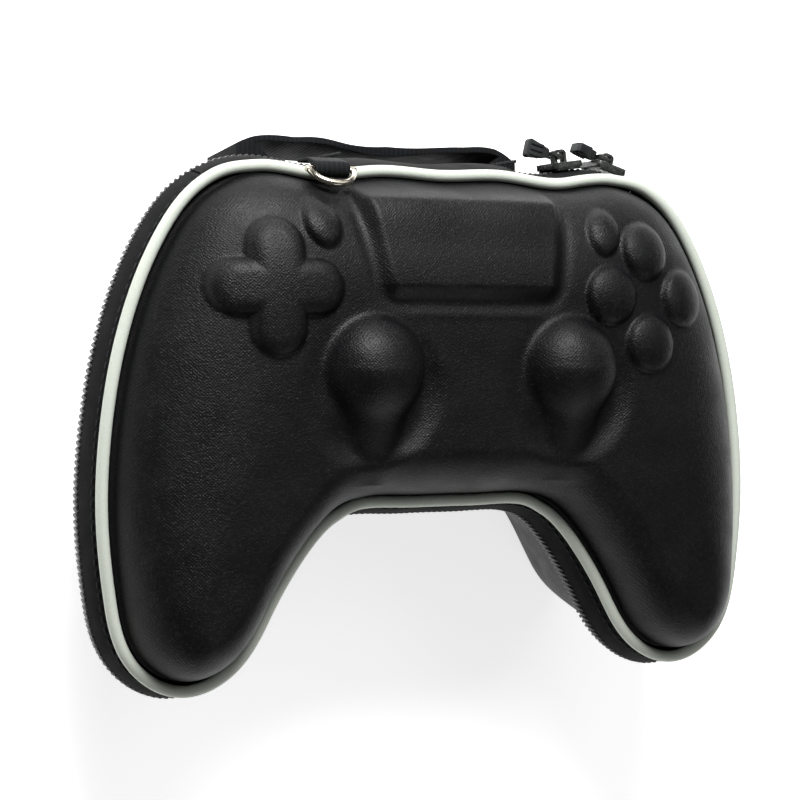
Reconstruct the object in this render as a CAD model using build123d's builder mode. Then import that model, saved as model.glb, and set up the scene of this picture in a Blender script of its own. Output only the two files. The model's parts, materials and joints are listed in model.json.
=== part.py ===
"""Zipped carrying case for a twin-grip game controller, in millimetres.

The case lies on the flat of its back half: +Z is up through the lid, +X is to the right as
seen from the lid, and +Y points to the hinge edge. The origin is on the flat it rests on.
"""

import math
import os

from build123d import *

# Outline of the lid's rim, seen from the front
half_width = 86.0
top_reach = 51.8
grip_drop = 68.6
arch_drop = 26.5

# Heights
rear_depth = 34.0
rear_straight = 14.0
rear_rounding = 0.45
welt_height = 1.6
tape_width = 6.9
tooth_row = 2.9
row_gap = 0.1
lid_height = 19.0
lid_rounding = 0.88

# Walls and bands
wall = 3.0
tape_thickness = 1.3
tooth_depth = 2.2
piping_diameter = 3.8
piping_clearance = 0.15
chain_stand = 5.2
rear_stand = 4.2
grip_bulge = 1.3
seam_allowance = 1.5

# Hinge edge
gusset_length = 47.6
gusset_bulge = 1.3
hinge_stretch = 120.0
end_gap = 0.2
hinge_reach = 56.0
tack_length = 1.8
tack_thickness = 0.8
tack_height = 13.0

# Moulded features of the lid
well_radius = 19.4
well_depth = 1.5
stick_x = 26.8
stick_y = 6.0
stick_radius = 11.7
stick_rise = 9.5
tail_length = 27.0
tail_end_radius = 8.0
well_offset = 6.3
button_x = 50.6
button_y = 22.6
button_pitch = 11.6
button_radius = 6.9
button_rise = 3.0
button_steps = ((1, 0, 4.8), (-1, 0, 0.4), (0, 1, 3.3), (0, -1, 0.6))
pad_x = -50.5
pad_y = 23.8
pad_reach = 15.6
pad_lobe = 13.6
pad_corner = 3.0
pad_top = 18.9
pad_curve = 110.0
side_lean = 11.0
back_lean = 7.0
touch_top_half = 28.0
touch_bottom_half = 23.2
touch_bottom = 21.4
touch_top = 48.8
touch_corner = 3.5
touch_height = 20.2
touch_curve = 56.0
touch_level_y = 20.0
oval_x = 38.6
oval_y = 38.8
oval_length = 10.5
oval_width = 6.8
oval_height = 15.6
oval_lean = 24.0

# Sliders and pulls
slider_places = {"inner": 41.5, "outer": 54.5}
slider_length = 9.0
slider_width = 9.8
slider_plate = 1.6
slider_clearance = 0.3
slider_flange = 0.9
slider_rounding = 1.2
flange_inset = 1.0
flange_drop = 0.55
bridge_length = 3.6
bridge_width = 2.4
bridge_bar = 0.8
bridge_hole = 2.6
bridge_rounding = 1.2
wire = 1.0
link_half_width = 2.1
link_length = 2.95
tongue_length = 2.0
tongue_diameter = 1.4
grip_length = 6.5
grip_wide = 5.2
grip_narrow = 2.4
grip_thickness = 2.2
grip_rounding = 0.8
grip_gap = 0.1
rib_share = 0.55
rib_height = 0.35
rib_width = 0.7
rib_pitch = 1.4
rib_inset = 0.9
pull_tilt = {"inner": 22.0, "outer": 4.0}
pull_roll = {"inner": 0.0, "outer": 90.0}

# D-ring and its webbing tab
ring_x = -31.7
ring_width = 13.0
ring_wire = 1.6
ring_clearance = 0.2
ring_lean = 50.0
tab_width = 8.8
webbing = 1.0
tab_tail = 10.0
tab_clearance = 0.7

# Carry strap on the back half
strap_width = 20.0
strap_z = 20.0
strap_thickness = 1.6
strap_left = -43.0
strap_right = 37.0
strap_foot = 9.0
strap_clearance = 0.3
hump_x = -26.8
hump_top = 63.3
strap_top = 61.1

# Levels, worked out from the heights
rear_rim_z = rear_depth
rear_tape_z = rear_rim_z + welt_height
rear_teeth_z = rear_tape_z + tape_width
parting_z = rear_teeth_z + tooth_row + row_gap
front_teeth_z = parting_z + row_gap
front_tape_z = front_teeth_z + tooth_row
rim_z = front_tape_z + tape_width
piping_radius = piping_diameter / 2
piping_z = rim_z + piping_radius + 0.2
crown_z = rim_z + lid_height

# Right half of the outline from the top centre to the arch, and where each point's moulded
# curve runs out on the crown: shares of the half width and of the reach (x, y, crown x, crown y)
upper_outline = (
    (0.0, 0.982, 0.0, 0.347),
    (0.20, 0.993, 0.128, 0.353),
    (0.39, 0.966, 0.244, 0.357),
    (0.55, 0.998, 0.326, 0.359),
    (0.655, 0.963, 0.372, 0.347),
    (0.745, 0.871, 0.401, 0.309),
    (0.826, 0.697, 0.419, 0.251),
    (0.884, 0.506, 0.436, 0.174),
    (0.929, 0.299, 0.459, 0.077),
    (0.962, 0.083, 0.50, -0.039),
)
grip_outline = (
    (0.989, 0.16, 0.57, 0.19),
    (0.999, 0.40, 0.663, 0.408),
    (0.978, 0.70, 0.756, 0.656),
    (0.925, 0.905, 0.785, 0.758),
    (0.797, 1.0, 0.773, 0.816),
    (0.665, 0.935, 0.733, 0.773),
    (0.563, 0.745, 0.674, 0.656),
    (0.49, 0.60, 0.587, 0.466),
    (0.43, 0.505, 0.512, 0.364),
    (0.355, 0.425, 0.413, 0.248),
)
arch_outline = ((0.25, 1.0, 0.279, 0.49), (0.125, 1.0, 0.14, 0.49), (0.0, 1.0, 0.0, 0.49))


def outline_points(grow, rounding=0.0, bulge=0.0):
    """The closed outline, grown outward, then moved by a share of its way to the crown."""
    half = []
    for table, reach in (
        (upper_outline, top_reach),
        (grip_outline, -grip_drop),
        (arch_outline, -arch_drop),
    ):
        for x, y, crown_x, crown_y in table:
            half.append((x * half_width, y * reach, crown_x * half_width, crown_y * reach))
    ring = half + [(-x, y, -crown_x, crown_y) for x, y, crown_x, crown_y in reversed(half[1:-1])]
    points = []
    for index, (x, y, crown_x, crown_y) in enumerate(ring):
        before = ring[index - 1]
        after = ring[(index + 1) % len(ring)]
        along_x, along_y = after[0] - before[0], after[1] - before[1]
        length = math.hypot(along_x, along_y)
        on_grip = min(1.0, max(0.0, -y / grip_drop * 1.5 - 0.1))
        out = grow + bulge * on_grip
        edge_x = x - along_y / length * out
        edge_y = y + along_x / length * out
        points.append(
            (
                edge_x + rounding * (crown_x - edge_x),
                edge_y + rounding * (crown_y - edge_y),
            )
        )
    return points


def outline_face(grow, z, rounding=0.0, bulge=0.0):
    """A flat face of the outline at a height."""
    with BuildSketch(Plane.XY.offset(z)) as face:
        with BuildLine():
            Spline(*outline_points(grow, rounding, bulge), periodic=True)
        make_face()
    return face.sketch


def moulded_body(grow, base_z, straight, height, share, steps=6):
    """A body over the outline whose edge rounds over to a flat crown, up or down from its base."""
    side = math.copysign(1.0, height)
    sections = [outline_face(grow, base_z)] if straight else []
    for step in range(steps + 1):
        angle = math.pi / 2 * step / steps
        rise = straight + (abs(height) - straight) * math.sin(angle)
        sections.append(outline_face(grow, base_z + side * rise, share * (1 - math.cos(angle))))
    with BuildPart() as body:
        loft(sections)
    return body.part


def band(sections, thickness):
    """A thin band round the case through (z, outer stand, bulge, inner extra) sections."""
    with BuildPart() as ring:
        loft(
            [outline_face(stand, z, bulge=bulge) for z, stand, bulge, _ in sections],
            ruled=len(sections) == 2,
        )
        loft(
            [
                outline_face(stand - thickness - extra, z, bulge=bulge)
                for z, stand, bulge, extra in sections
            ],
            ruled=len(sections) == 2,
            mode=Mode.SUBTRACT,
        )
    return ring.part


def hinge_box(length):
    """A block over the hinge edge, centred on the case and as long as is asked."""
    tall = crown_z * 2
    with BuildPart() as block:
        with Locations((0, top_reach, 0)):
            Box(length, top_reach, tall)
    return block.part


def hinge_edge_plane(x):
    """The frame on the chain's outer face at x: its X runs along the chain, its Y points out."""
    with BuildLine() as line:
        Spline(*outline_points(chain_stand), periodic=True)
    edge = line.edges()[0]
    samples = [edge.position_at(i / 2000) for i in range(2000)]
    near = min((p for p in samples if p.Y > 0), key=lambda p: abs(p.X - x))
    after = min((p for p in samples if p.Y > 0), key=lambda p: abs(p.X - x - 2))
    along = Vector(after.X - near.X, after.Y - near.Y, 0)
    return Plane(origin=(near.X, near.Y, parting_z), x_dir=along, z_dir=(0, 0, 1))


def leaning_plane(x, y, z, outward, backward):
    """A frame on the lid, leaning by degrees away from the middle and toward the hinge."""
    side = math.copysign(1.0, x)
    lean_x = side * math.tan(math.radians(outward))
    lean_y = math.tan(math.radians(backward))
    return Plane(origin=(x, y, z), x_dir=(1, 0, -lean_x), z_dir=(lean_x, lean_y, 1))


def dome(plane, radius, rise):
    """A shallow round cap on a plane, with its foot buried in the wall."""
    ball = (radius**2 + rise**2) / (2 * rise)
    with BuildPart(plane) as cap:
        with Locations((0, 0, -wall * 0.6)):
            Cylinder(radius, wall * 0.6 + rise, align=(Align.CENTER, Align.CENTER, Align.MIN))
        with Locations((0, 0, rise - ball)):
            Sphere(ball, mode=Mode.INTERSECT)
    return cap.part


def stick(x, shrink, floor_z):
    """A thumbstick's ball and the ramp from it down to the lid's crown, above floor_z."""
    radius = stick_radius - shrink
    centre_z = crown_z - stick_radius + stick_rise
    end_radius = tail_end_radius - shrink
    with BuildPart() as bulb:
        with Locations((x, stick_y, centre_z)):
            Sphere(radius)
        with BuildSketch(Plane(origin=(x, stick_y, centre_z), z_dir=(0, -1, 0))):
            Circle(radius * 0.92)
        end_z = crown_z - tail_end_radius - 0.8
        with BuildSketch(Plane(origin=(x, stick_y - tail_length, end_z), z_dir=(0, -1, 0))):
            Circle(end_radius)
        loft()
        with Locations((x, 0, floor_z)):
            Box(
                6 * stick_radius,
                6 * stick_radius,
                4 * stick_radius,
                align=(Align.CENTER, Align.CENTER, Align.MIN),
                mode=Mode.INTERSECT,
            )
    return bulb.part


os.makedirs("parts", exist_ok=True)

# Back half: a moulded tray with a flat to rest on
rear_solid = moulded_body(rear_stand, rear_rim_z, rear_straight, -rear_depth, rear_rounding)
rear_hollow = moulded_body(
    rear_stand - wall, rear_rim_z, rear_straight, wall - rear_depth, rear_rounding, 4
)
with BuildPart() as rear_shell:
    add(rear_solid)
    add(rear_hollow, mode=Mode.SUBTRACT)
rear_shell.part.label = "rear_shell"
export_step(rear_shell.part, "parts/rear_shell.step")

# Narrow binding over the back half's seam
welt_stand = rear_stand + 1.0
with BuildPart() as rear_welt:
    add(
        band(
            ((rear_rim_z, welt_stand, 0.0, 0.0), (rear_tape_z, welt_stand, 0.0, 0.0)),
            wall + 1.0,
        )
    )
rear_welt.part.label = "rear_welt"
export_step(rear_welt.part, "parts/rear_welt.step")

# Zipper tapes and rows of teeth; the gusset and the stretch beside it stay on the back half
tape_stand = chain_stand - 0.5
tape_rim_stand = piping_diameter - tape_thickness
rear_tape_ring = band(
    (
        (rear_tape_z, rear_stand + 0.2, 0.0, 0.0),
        (rear_teeth_z, tape_stand, grip_bulge, 0.0),
    ),
    tape_thickness,
)
front_tape_ring = band(
    (
        (front_tape_z, tape_stand, grip_bulge, 0.0),
        (rim_z, tape_rim_stand, 0.0, seam_allowance + tape_thickness),
    ),
    tape_thickness,
)


def tooth_ring(z):
    """One closed row of teeth as its envelope."""
    level = (z, chain_stand, grip_bulge, 0.0)
    return band((level, (z + tooth_row,) + level[1:]), tooth_depth)


with BuildPart() as rear_tape:
    add(rear_tape_ring)
    add(hinge_box(gusset_length + 2 * end_gap), mode=Mode.SUBTRACT)
rear_tape.part.label = "rear_tape"
export_step(rear_tape.part, "parts/rear_tape.step")

with BuildPart() as rear_teeth:
    add(tooth_ring(rear_teeth_z))
    add(hinge_box(gusset_length + 2 * end_gap), mode=Mode.SUBTRACT)
rear_teeth.part.label = "rear_teeth"
export_step(rear_teeth.part, "parts/rear_teeth.step")

with BuildPart() as front_tape:
    add(front_tape_ring)
    add(hinge_box(hinge_stretch + end_gap), mode=Mode.SUBTRACT)
front_tape.part.label = "front_tape"
export_step(front_tape.part, "parts/front_tape.step")

with BuildPart() as front_tape_ends:
    add(front_tape_ring)
    add(hinge_box(hinge_stretch - end_gap), mode=Mode.INTERSECT)
    add(hinge_box(gusset_length + 2 * end_gap), mode=Mode.SUBTRACT)
front_tape_ends.part.label = "front_tape_ends"
export_step(front_tape_ends.part, "parts/front_tape_ends.step")

with BuildPart() as front_teeth:
    add(tooth_ring(front_teeth_z))
    add(hinge_box(hinge_stretch + end_gap), mode=Mode.SUBTRACT)
front_teeth.part.label = "front_teeth"
export_step(front_teeth.part, "parts/front_teeth.step")

with BuildPart() as front_teeth_ends:
    add(tooth_ring(front_teeth_z))
    add(hinge_box(hinge_stretch - end_gap), mode=Mode.INTERSECT)
    add(hinge_box(gusset_length + 2 * end_gap), mode=Mode.SUBTRACT)
front_teeth_ends.part.label = "front_teeth_ends"
export_step(front_teeth_ends.part, "parts/front_teeth_ends.step")

# Fabric gusset that joins the halves at the top centre
gusset_stand = tape_stand + gusset_bulge
gusset_ring = band(
    (
        (rear_tape_z, rear_stand + 0.2, 0.0, seam_allowance),
        (parting_z, gusset_stand, 0.0, 0.0),
        (rim_z, tape_rim_stand, 0.0, seam_allowance + tape_thickness),
    ),
    tape_thickness,
)
with BuildPart() as hinge_gusset:
    add(gusset_ring)
    add(hinge_box(gusset_length), mode=Mode.INTERSECT)
hinge_gusset.part.label = "hinge_gusset"
export_step(hinge_gusset.part, "parts/hinge_gusset.step")

# Bar tacks over the two ends of the gusset
tack_low = parting_z - tack_height / 2
tack_stand = gusset_stand + slider_clearance
with BuildPart() as gusset_tacks:
    extrude(outline_face(tack_stand + tack_thickness, tack_low), amount=tack_height)
    extrude(outline_face(tack_stand, tack_low), amount=tack_height, mode=Mode.SUBTRACT)
    add(hinge_box(gusset_length + tack_length), mode=Mode.INTERSECT)
    add(hinge_box(gusset_length - tack_length), mode=Mode.SUBTRACT)
gusset_tacks.part.label = "gusset_tacks"
export_step(gusset_tacks.part, "parts/gusset_tacks.step")

# Lid: a crowned shell with the controller's features moulded into it
lid_solid = moulded_body(0.0, rim_z, 0.0, lid_height, lid_rounding)
lid_hollow = moulded_body(-wall, rim_z, 0.0, lid_height - wall, lid_rounding, 4)
foot_z = rim_z + 1.0

with BuildPart() as touchpad:
    with BuildSketch(Plane.XY.offset(foot_z)):
        with BuildLine():
            Polyline(
                (-touch_top_half, touch_top),
                (touch_top_half, touch_top),
                (touch_bottom_half, touch_bottom),
                (-touch_bottom_half, touch_bottom),
                close=True,
            )
        pad_outline = make_face()
        fillet(pad_outline.vertices(), radius=touch_corner)
    extrude(amount=2 * lid_height)
    with Locations((0, touch_level_y, rim_z + touch_height - touch_curve)):
        Cylinder(touch_curve, 4 * touch_top_half, rotation=(0, 90, 0), mode=Mode.INTERSECT)

pad_plane = leaning_plane(pad_x, pad_y, rim_z + pad_top, side_lean, back_lean)
with BuildPart() as d_pad:
    with BuildSketch(Plane.XY.offset(foot_z)):
        with Locations((pad_x, pad_y)):
            RectangleRounded(2 * pad_reach, pad_lobe, pad_lobe / 2 - 0.4)
            RectangleRounded(pad_lobe, 2 * pad_reach, pad_lobe / 2 - 0.4)
    extrude(amount=2 * lid_height)
    inner_corners = [
        edge
        for edge in d_pad.edges().filter_by(Axis.Z)
        if abs(abs(edge.center().X - pad_x) - pad_lobe / 2) < 0.01
        and abs(abs(edge.center().Y - pad_y) - pad_lobe / 2) < 0.01
    ]
    fillet(inner_corners, radius=pad_corner)
    with Locations(pad_plane.offset(-pad_curve).origin):
        Sphere(pad_curve, mode=Mode.INTERSECT)

with BuildPart() as front_shell:
    add(lid_solid)
    add(touchpad.part)
    add(d_pad.part)
    for side in (-1, 1):
        oval_plane = leaning_plane(side * oval_x, oval_y, rim_z + oval_height, 0, oval_lean)
        with BuildSketch(oval_plane.offset(-wall)):
            Ellipse(oval_width / 2, oval_length / 2, rotation=-12 * side)
        extrude(amount=wall + 0.8)
    add(lid_hollow, mode=Mode.SUBTRACT)
    with Locations(
        (-stick_x, stick_y - well_offset, crown_z - well_depth),
        (stick_x, stick_y - well_offset, crown_z - well_depth),
    ):
        Cylinder(
            well_radius,
            lid_height,
            align=(Align.CENTER, Align.CENTER, Align.MIN),
            mode=Mode.SUBTRACT,
        )
    for step_x, step_y, sink in button_steps:
        place_x = button_x + step_x * button_pitch
        place_y = button_y + step_y * button_pitch
        place = leaning_plane(place_x, place_y, crown_z - sink, side_lean, back_lean)
        add(dome(place, button_radius, button_rise))
    for side in (-1, 1):
        add(stick(side * stick_x, 0.0, crown_z - wall * 0.8))
        add(stick(side * stick_x, wall, rim_z), mode=Mode.SUBTRACT)
front_shell.part.label = "front_shell"
export_step(front_shell.part, "parts/front_shell.step")

# Round piping sewn along the lid's rim
piping_stand = piping_clearance + piping_radius
with BuildPart() as front_piping:
    with BuildLine() as piping_path:
        Spline(*[(x, y, piping_z) for x, y in outline_points(piping_stand)], periodic=True)
    start = piping_path.line @ 0
    with BuildSketch(Plane(origin=start, z_dir=piping_path.line % 0)):
        RegularPolygon(piping_radius, 8)
    sweep()
front_piping.part.label = "front_piping"
export_step(front_piping.part, "parts/front_piping.step")

# Sliders on the closed chain, each with its metal link and moulded grip
plate_y = slider_clearance
pivot_y = plate_y + slider_plate + bridge_hole / 2
for place, slider_x in slider_places.items():
    chain_plane = hinge_edge_plane(slider_x)
    with BuildPart(chain_plane) as slider:
        with Locations((0, plate_y + slider_plate / 2, 0)):
            Box(slider_length, slider_plate, slider_width)
        for side in (-1, 1):
            with Locations((0, plate_y, side * (slider_width - slider_flange) / 2)):
                Box(
                    slider_length - 2 * flange_inset,
                    flange_drop,
                    slider_flange,
                    align=(Align.CENTER, Align.MAX, Align.CENTER),
                )
        bridge_top = bridge_hole + bridge_bar
        with Locations((0, plate_y + slider_plate, 0)):
            Box(
                bridge_length,
                bridge_top,
                bridge_width,
                align=(Align.CENTER, Align.MIN, Align.CENTER),
            )
            Box(
                bridge_length - 2 * bridge_bar,
                bridge_hole,
                bridge_width,
                align=(Align.CENTER, Align.MIN, Align.CENTER),
                mode=Mode.SUBTRACT,
            )
        long_edges = slider.edges().filter_by(lambda e: abs(e.length - slider_plate) < 0.01)
        fillet(long_edges, radius=slider_rounding)
        outward = Axis(chain_plane.origin, chain_plane.y_dir)
        across = slider.edges().filter_by(lambda e: abs(e.length - bridge_width) < 0.01)
        fillet(across.sort_by(outward)[-2:], radius=bridge_rounding)
    slider_name = "slider_" + place
    slider.part.label = slider_name
    export_step(slider.part, f"parts/{slider_name}.step")

    pivot = chain_plane * Location((0, pivot_y, 0))
    tilted = Plane(pivot).rotated((0, 0, -pull_tilt[place]))
    with BuildPart(tilted) as link:
        Cylinder(wire / 2, 2 * link_half_width + wire)
        for side in (-1, 1):
            with Locations((-link_length / 2, 0, side * link_half_width)):
                Box(link_length + wire, wire, wire)
        with Locations((-link_length, 0, 0)):
            Box(wire, wire, 2 * link_half_width + wire)
        with Locations((-link_length - tongue_length / 2, 0, 0)):
            Cylinder(tongue_diameter / 2, tongue_length, rotation=(0, 90, 0))
    link_name = "link_" + place
    link.part.label = link_name
    export_step(link.part, f"parts/{link_name}.step")

    rolled = Plane(tilted.location * Location((0, 0, 0), (pull_roll[place], 0, 0)))
    grip_start = link_length + wire / 2 + grip_gap
    grip_end = grip_start + grip_length
    rib_length = grip_length * rib_share
    rib_middle = -grip_end + rib_inset + rib_length / 2
    with BuildPart() as grip:
        with BuildSketch(rolled):
            with BuildLine():
                Polyline(
                    (-grip_start, grip_narrow / 2),
                    (-grip_end, grip_wide / 2),
                    (-grip_end, -grip_wide / 2),
                    (-grip_start, -grip_narrow / 2),
                    close=True,
                )
            grip_outline_face = make_face()
            fillet(grip_outline_face.vertices(), radius=grip_rounding)
        extrude(amount=grip_thickness / 2, both=True)
        for step in (-1, 0, 1):
            with Locations(rolled.location * Location((rib_middle, step * rib_pitch, 0))):
                Box(rib_length, rib_width, grip_thickness + 2 * rib_height)
        add(link.part, mode=Mode.SUBTRACT)
    grip_name = "pull_" + place
    grip.part.label = grip_name
    export_step(grip.part, f"parts/{grip_name}.step")

# D-ring lying on the lid's rounded edge, held by a loop of webbing over the piping
ring_edge_y = hinge_edge_plane(ring_x).origin.Y - chain_stand
loop_inner = ring_wire / 2 + ring_clearance
loop_outer = loop_inner + webbing
bar_y = ring_edge_y + loop_outer + 0.5
bar_z = piping_z + piping_radius + loop_outer + 0.3
bar_point = (ring_x, bar_y, bar_z)
tail_inner = ring_edge_y + piping_clearance + piping_diameter + tab_clearance
with BuildPart() as d_ring_tab:
    with BuildSketch(Plane(origin=(ring_x, 0, 0), x_dir=(0, 1, 0), z_dir=(1, 0, 0))):
        with BuildLine():
            Polyline(
                (bar_y, bar_z + loop_outer),
                (bar_y + loop_outer, bar_z),
                (tail_inner + webbing, piping_z),
                (tail_inner + webbing, bar_z - tab_tail),
                (tail_inner, bar_z - tab_tail),
                (tail_inner, piping_z),
                (bar_y, bar_z),
                close=True,
            )
        make_face()
        with Locations((bar_y, bar_z)):
            Circle(loop_outer)
            Circle(loop_inner, mode=Mode.SUBTRACT)
    extrude(amount=tab_width / 2, both=True)
d_ring_tab.part.label = "d_ring_tab"
export_step(d_ring_tab.part, "parts/d_ring_tab.step")

ring_plane = Plane(
    origin=bar_point,
    x_dir=(1, 0, 0),
    z_dir=(0, math.sin(math.radians(ring_lean)), math.cos(math.radians(ring_lean))),
)
ring_radius = (ring_width - ring_wire) / 2
ring_turn = Axis(ring_plane.origin, ring_plane.z_dir)
ring_end = ring_plane.origin + ring_plane.x_dir * ring_radius
with BuildPart() as d_ring:
    with BuildSketch(Plane(origin=ring_end, x_dir=ring_plane.x_dir, z_dir=ring_plane.y_dir)):
        RegularPolygon(ring_wire / 2, 10)
    revolve(axis=ring_turn, revolution_arc=-180)
    with BuildSketch(Plane(origin=bar_point, z_dir=(1, 0, 0))):
        RegularPolygon(ring_wire / 2, 10)
    extrude(amount=ring_width / 2, both=True)
d_ring.part.label = "d_ring"
export_step(d_ring.part, "parts/d_ring.step")

# Webbing strap with folded feet, standing up in a hump at its left
foot_y = top_reach * 0.966 + rear_stand + strap_clearance
foot_edge_y = top_reach * 0.985 + rear_stand + strap_clearance + 0.4
top_line = (
    (strap_left, strap_top - 1.5),
    (strap_left + 4.5, strap_top + 0.5),
    (hump_x, hump_top),
    (hump_x + 7.8, hump_top - 0.5),
    (hump_x + 14.0, strap_top + 0.1),
    (strap_right - 26.0, strap_top),
    (strap_right - 4.0, strap_top + 0.2),
    (strap_right, strap_top - 2.2),
)
with BuildPart() as carry_strap:
    with BuildSketch(Plane.XY.offset(strap_z - strap_width / 2)):
        with BuildLine():
            top_curve = Spline(*top_line)
            low_curve = Spline(*[(x, y - strap_thickness) for x, y in top_line])
            Line(top_curve @ 0, low_curve @ 0)
            Line(top_curve @ 1, low_curve @ 1)
        make_face()
        with BuildLine():
            Polyline(
                (strap_left, foot_edge_y),
                (strap_left + strap_foot, foot_y),
                (strap_left + strap_foot, foot_y + 2 * strap_thickness),
                (strap_left + 4.5, strap_top - 0.6),
                (strap_left, strap_top - 2.4),
                close=True,
            )
        make_face()
        with BuildLine():
            Polyline(
                (strap_right, foot_edge_y),
                (strap_right - strap_foot, foot_y),
                (strap_right - strap_foot, foot_y + 2 * strap_thickness),
                (strap_right - 4.5, strap_top - 0.8),
                (strap_right, strap_top - 2.9),
                close=True,
            )
        make_face()
    extrude(amount=strap_width)
carry_strap.part.label = "carry_strap"
export_step(carry_strap.part, "parts/carry_strap.step")

print("hinge axis y, z:", hinge_reach, parting_z)
print("ring bar y, z:", bar_y, bar_z)
for place, slider_x in slider_places.items():
    point = (hinge_edge_plane(slider_x) * Location((0, pivot_y, 0))).position
    print("pivot", place, point.X, point.Y, point.Z)
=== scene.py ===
"""Looks of a zipped game controller case: moulded lid, piping, zipper, gusset, strap and ring."""

import json
import logging
import math
from collections.abc import Callable, Sequence
from dataclasses import dataclass, field
from enum import Enum

import bmesh
import bpy
import numpy as np
from mathutils import Matrix, Vector
from mathutils.geometry import delaunay_2d_cdt

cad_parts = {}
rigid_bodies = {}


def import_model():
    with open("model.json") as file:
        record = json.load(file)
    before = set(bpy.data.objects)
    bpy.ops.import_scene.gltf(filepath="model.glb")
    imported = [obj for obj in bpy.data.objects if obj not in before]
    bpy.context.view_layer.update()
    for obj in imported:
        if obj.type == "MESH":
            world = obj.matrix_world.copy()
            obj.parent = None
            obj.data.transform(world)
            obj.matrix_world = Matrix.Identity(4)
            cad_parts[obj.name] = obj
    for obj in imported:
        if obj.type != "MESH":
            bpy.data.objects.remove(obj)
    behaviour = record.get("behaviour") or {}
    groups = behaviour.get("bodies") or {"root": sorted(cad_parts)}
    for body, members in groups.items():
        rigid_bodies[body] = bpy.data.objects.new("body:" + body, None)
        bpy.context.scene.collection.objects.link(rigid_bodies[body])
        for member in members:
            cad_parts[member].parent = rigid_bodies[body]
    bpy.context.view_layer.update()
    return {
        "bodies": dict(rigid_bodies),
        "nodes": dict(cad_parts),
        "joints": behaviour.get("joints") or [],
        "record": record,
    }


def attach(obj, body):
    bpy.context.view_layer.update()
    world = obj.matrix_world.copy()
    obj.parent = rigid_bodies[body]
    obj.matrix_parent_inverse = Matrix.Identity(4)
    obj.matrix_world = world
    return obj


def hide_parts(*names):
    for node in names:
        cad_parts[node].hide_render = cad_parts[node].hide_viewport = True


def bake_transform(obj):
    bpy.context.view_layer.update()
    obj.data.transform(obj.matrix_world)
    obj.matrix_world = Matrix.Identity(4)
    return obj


logging.basicConfig(level=logging.INFO, format="%(name)s %(message)s")
log = logging.getLogger("case")

MM = 0.001
MERGE_DISTANCE = 1e-6

# Outline, as in the construction: shares of the half width and of the reach, then the crown's
HALF_WIDTH = 86.0
TOP_REACH = 51.8
GRIP_DROP = 68.6
ARCH_DROP = 26.5
UPPER_OUTLINE = (
    (0.0, 0.982, 0.0, 0.347),
    (0.20, 0.993, 0.128, 0.353),
    (0.39, 0.966, 0.244, 0.357),
    (0.55, 0.998, 0.326, 0.359),
    (0.655, 0.963, 0.372, 0.347),
    (0.745, 0.871, 0.401, 0.309),
    (0.826, 0.697, 0.419, 0.251),
    (0.884, 0.506, 0.436, 0.174),
    (0.929, 0.299, 0.459, 0.077),
    (0.962, 0.083, 0.50, -0.039),
)
GRIP_OUTLINE = (
    (0.989, 0.16, 0.57, 0.19),
    (0.999, 0.40, 0.663, 0.408),
    (0.978, 0.70, 0.756, 0.656),
    (0.925, 0.905, 0.785, 0.758),
    (0.797, 1.0, 0.773, 0.816),
    (0.665, 0.935, 0.733, 0.773),
    (0.563, 0.745, 0.674, 0.656),
    (0.49, 0.60, 0.587, 0.466),
    (0.43, 0.505, 0.512, 0.364),
    (0.355, 0.425, 0.413, 0.248),
)
ARCH_OUTLINE = ((0.25, 1.0, 0.279, 0.49), (0.125, 1.0, 0.14, 0.49), (0.0, 1.0, 0.0, 0.49))

# Levels, walls and stands of the bands, in millimetres
REAR_RIM_Z = 34.0
REAR_TAPE_Z = 35.6
REAR_TEETH_Z = 42.5
PARTING_Z = 45.5
FRONT_TEETH_Z = 45.6
FRONT_TAPE_Z = 48.5
RIM_Z = 55.4
WALL = 3.0
TAPE_STAND = 4.7
REAR_STAND = 4.2
GRIP_BULGE = 0.3
# Distance that the back is drawn in on the sides, for each unit below the front teeth
TUCK = 0.48
# Sideways share of the outward direction from which it draws in, and y from which the grips do
SIDE_FROM = 0.1
SIDE_OVER = 0.38
GRIP_FROM_Y = -30.0
GRIP_OVER = 12.0
GUSSET_HALF = 23.8
HINGE_HALF = 60.0


class Body(str, Enum):
    """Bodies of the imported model."""

    BASE = "base"
    LID = "lid"
    RING = "ring"
    INNER_PULL = "inner_pull"
    OUTER_PULL = "outer_pull"


class Slot(str, Enum):
    """Material slots of the record."""

    LAMINATE = "laminate"
    PIPING = "piping_cord"
    TAPE = "tape"
    COIL = "coil"
    THREAD = "thread"
    SLIDER = "slider_metal"
    GRIP = "grip_rubber"
    WEBBING = "webbing"
    RING = "ring_metal"


class Weave(Enum):
    """How a finish's surface is made up."""

    PLAIN = "plain"
    CROSSED = "crossed"
    MOULDED = "moulded"
    RIBBED = "ribbed"


@dataclass(frozen=True)
class Finish:
    """One procedural finish, with its real scales in millimetres.

    Attributes:
        name: The real material's common name.
        slot: The record's material slot, which isn't used.
        shade: Base colour as sRGB hex.
        light: Colour of its raised threads or worn spots as sRGB hex.
        roughness: Middle roughness.
        weave: The surface's make-up.
        period_mm: Thread spacing or grain size.
        bump_mm: Height of the threads or grain.
        mottle_mm: Size of the soft colour variation.
        metallic: Metal share.
        coat: Clear coat share.
        gloss: Strength of the mirror-like share.
    """

    name: str
    slot: Slot
    shade: str
    light: str
    roughness: float
    weave: Weave
    period_mm: float
    bump_mm: float
    mottle_mm: float
    metallic: float = 0.0
    coat: float = 0.0
    gloss: float = 0.35


# Polyester cloth on foam, pressed hot over the mould: matt black, with long soft highlights that the
# threads break up. The threads are drawn coarser than the real ones, so that they show
LAMINATE = Finish(
    name="pressed_polyester_laminate",
    slot=Slot.LAMINATE,
    shade="#050506",
    light="#26272b",
    roughness=0.47,
    weave=Weave.MOULDED,
    period_mm=0.8,
    bump_mm=0.07,
    mottle_mm=9.0,
    gloss=0.22,
)
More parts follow.
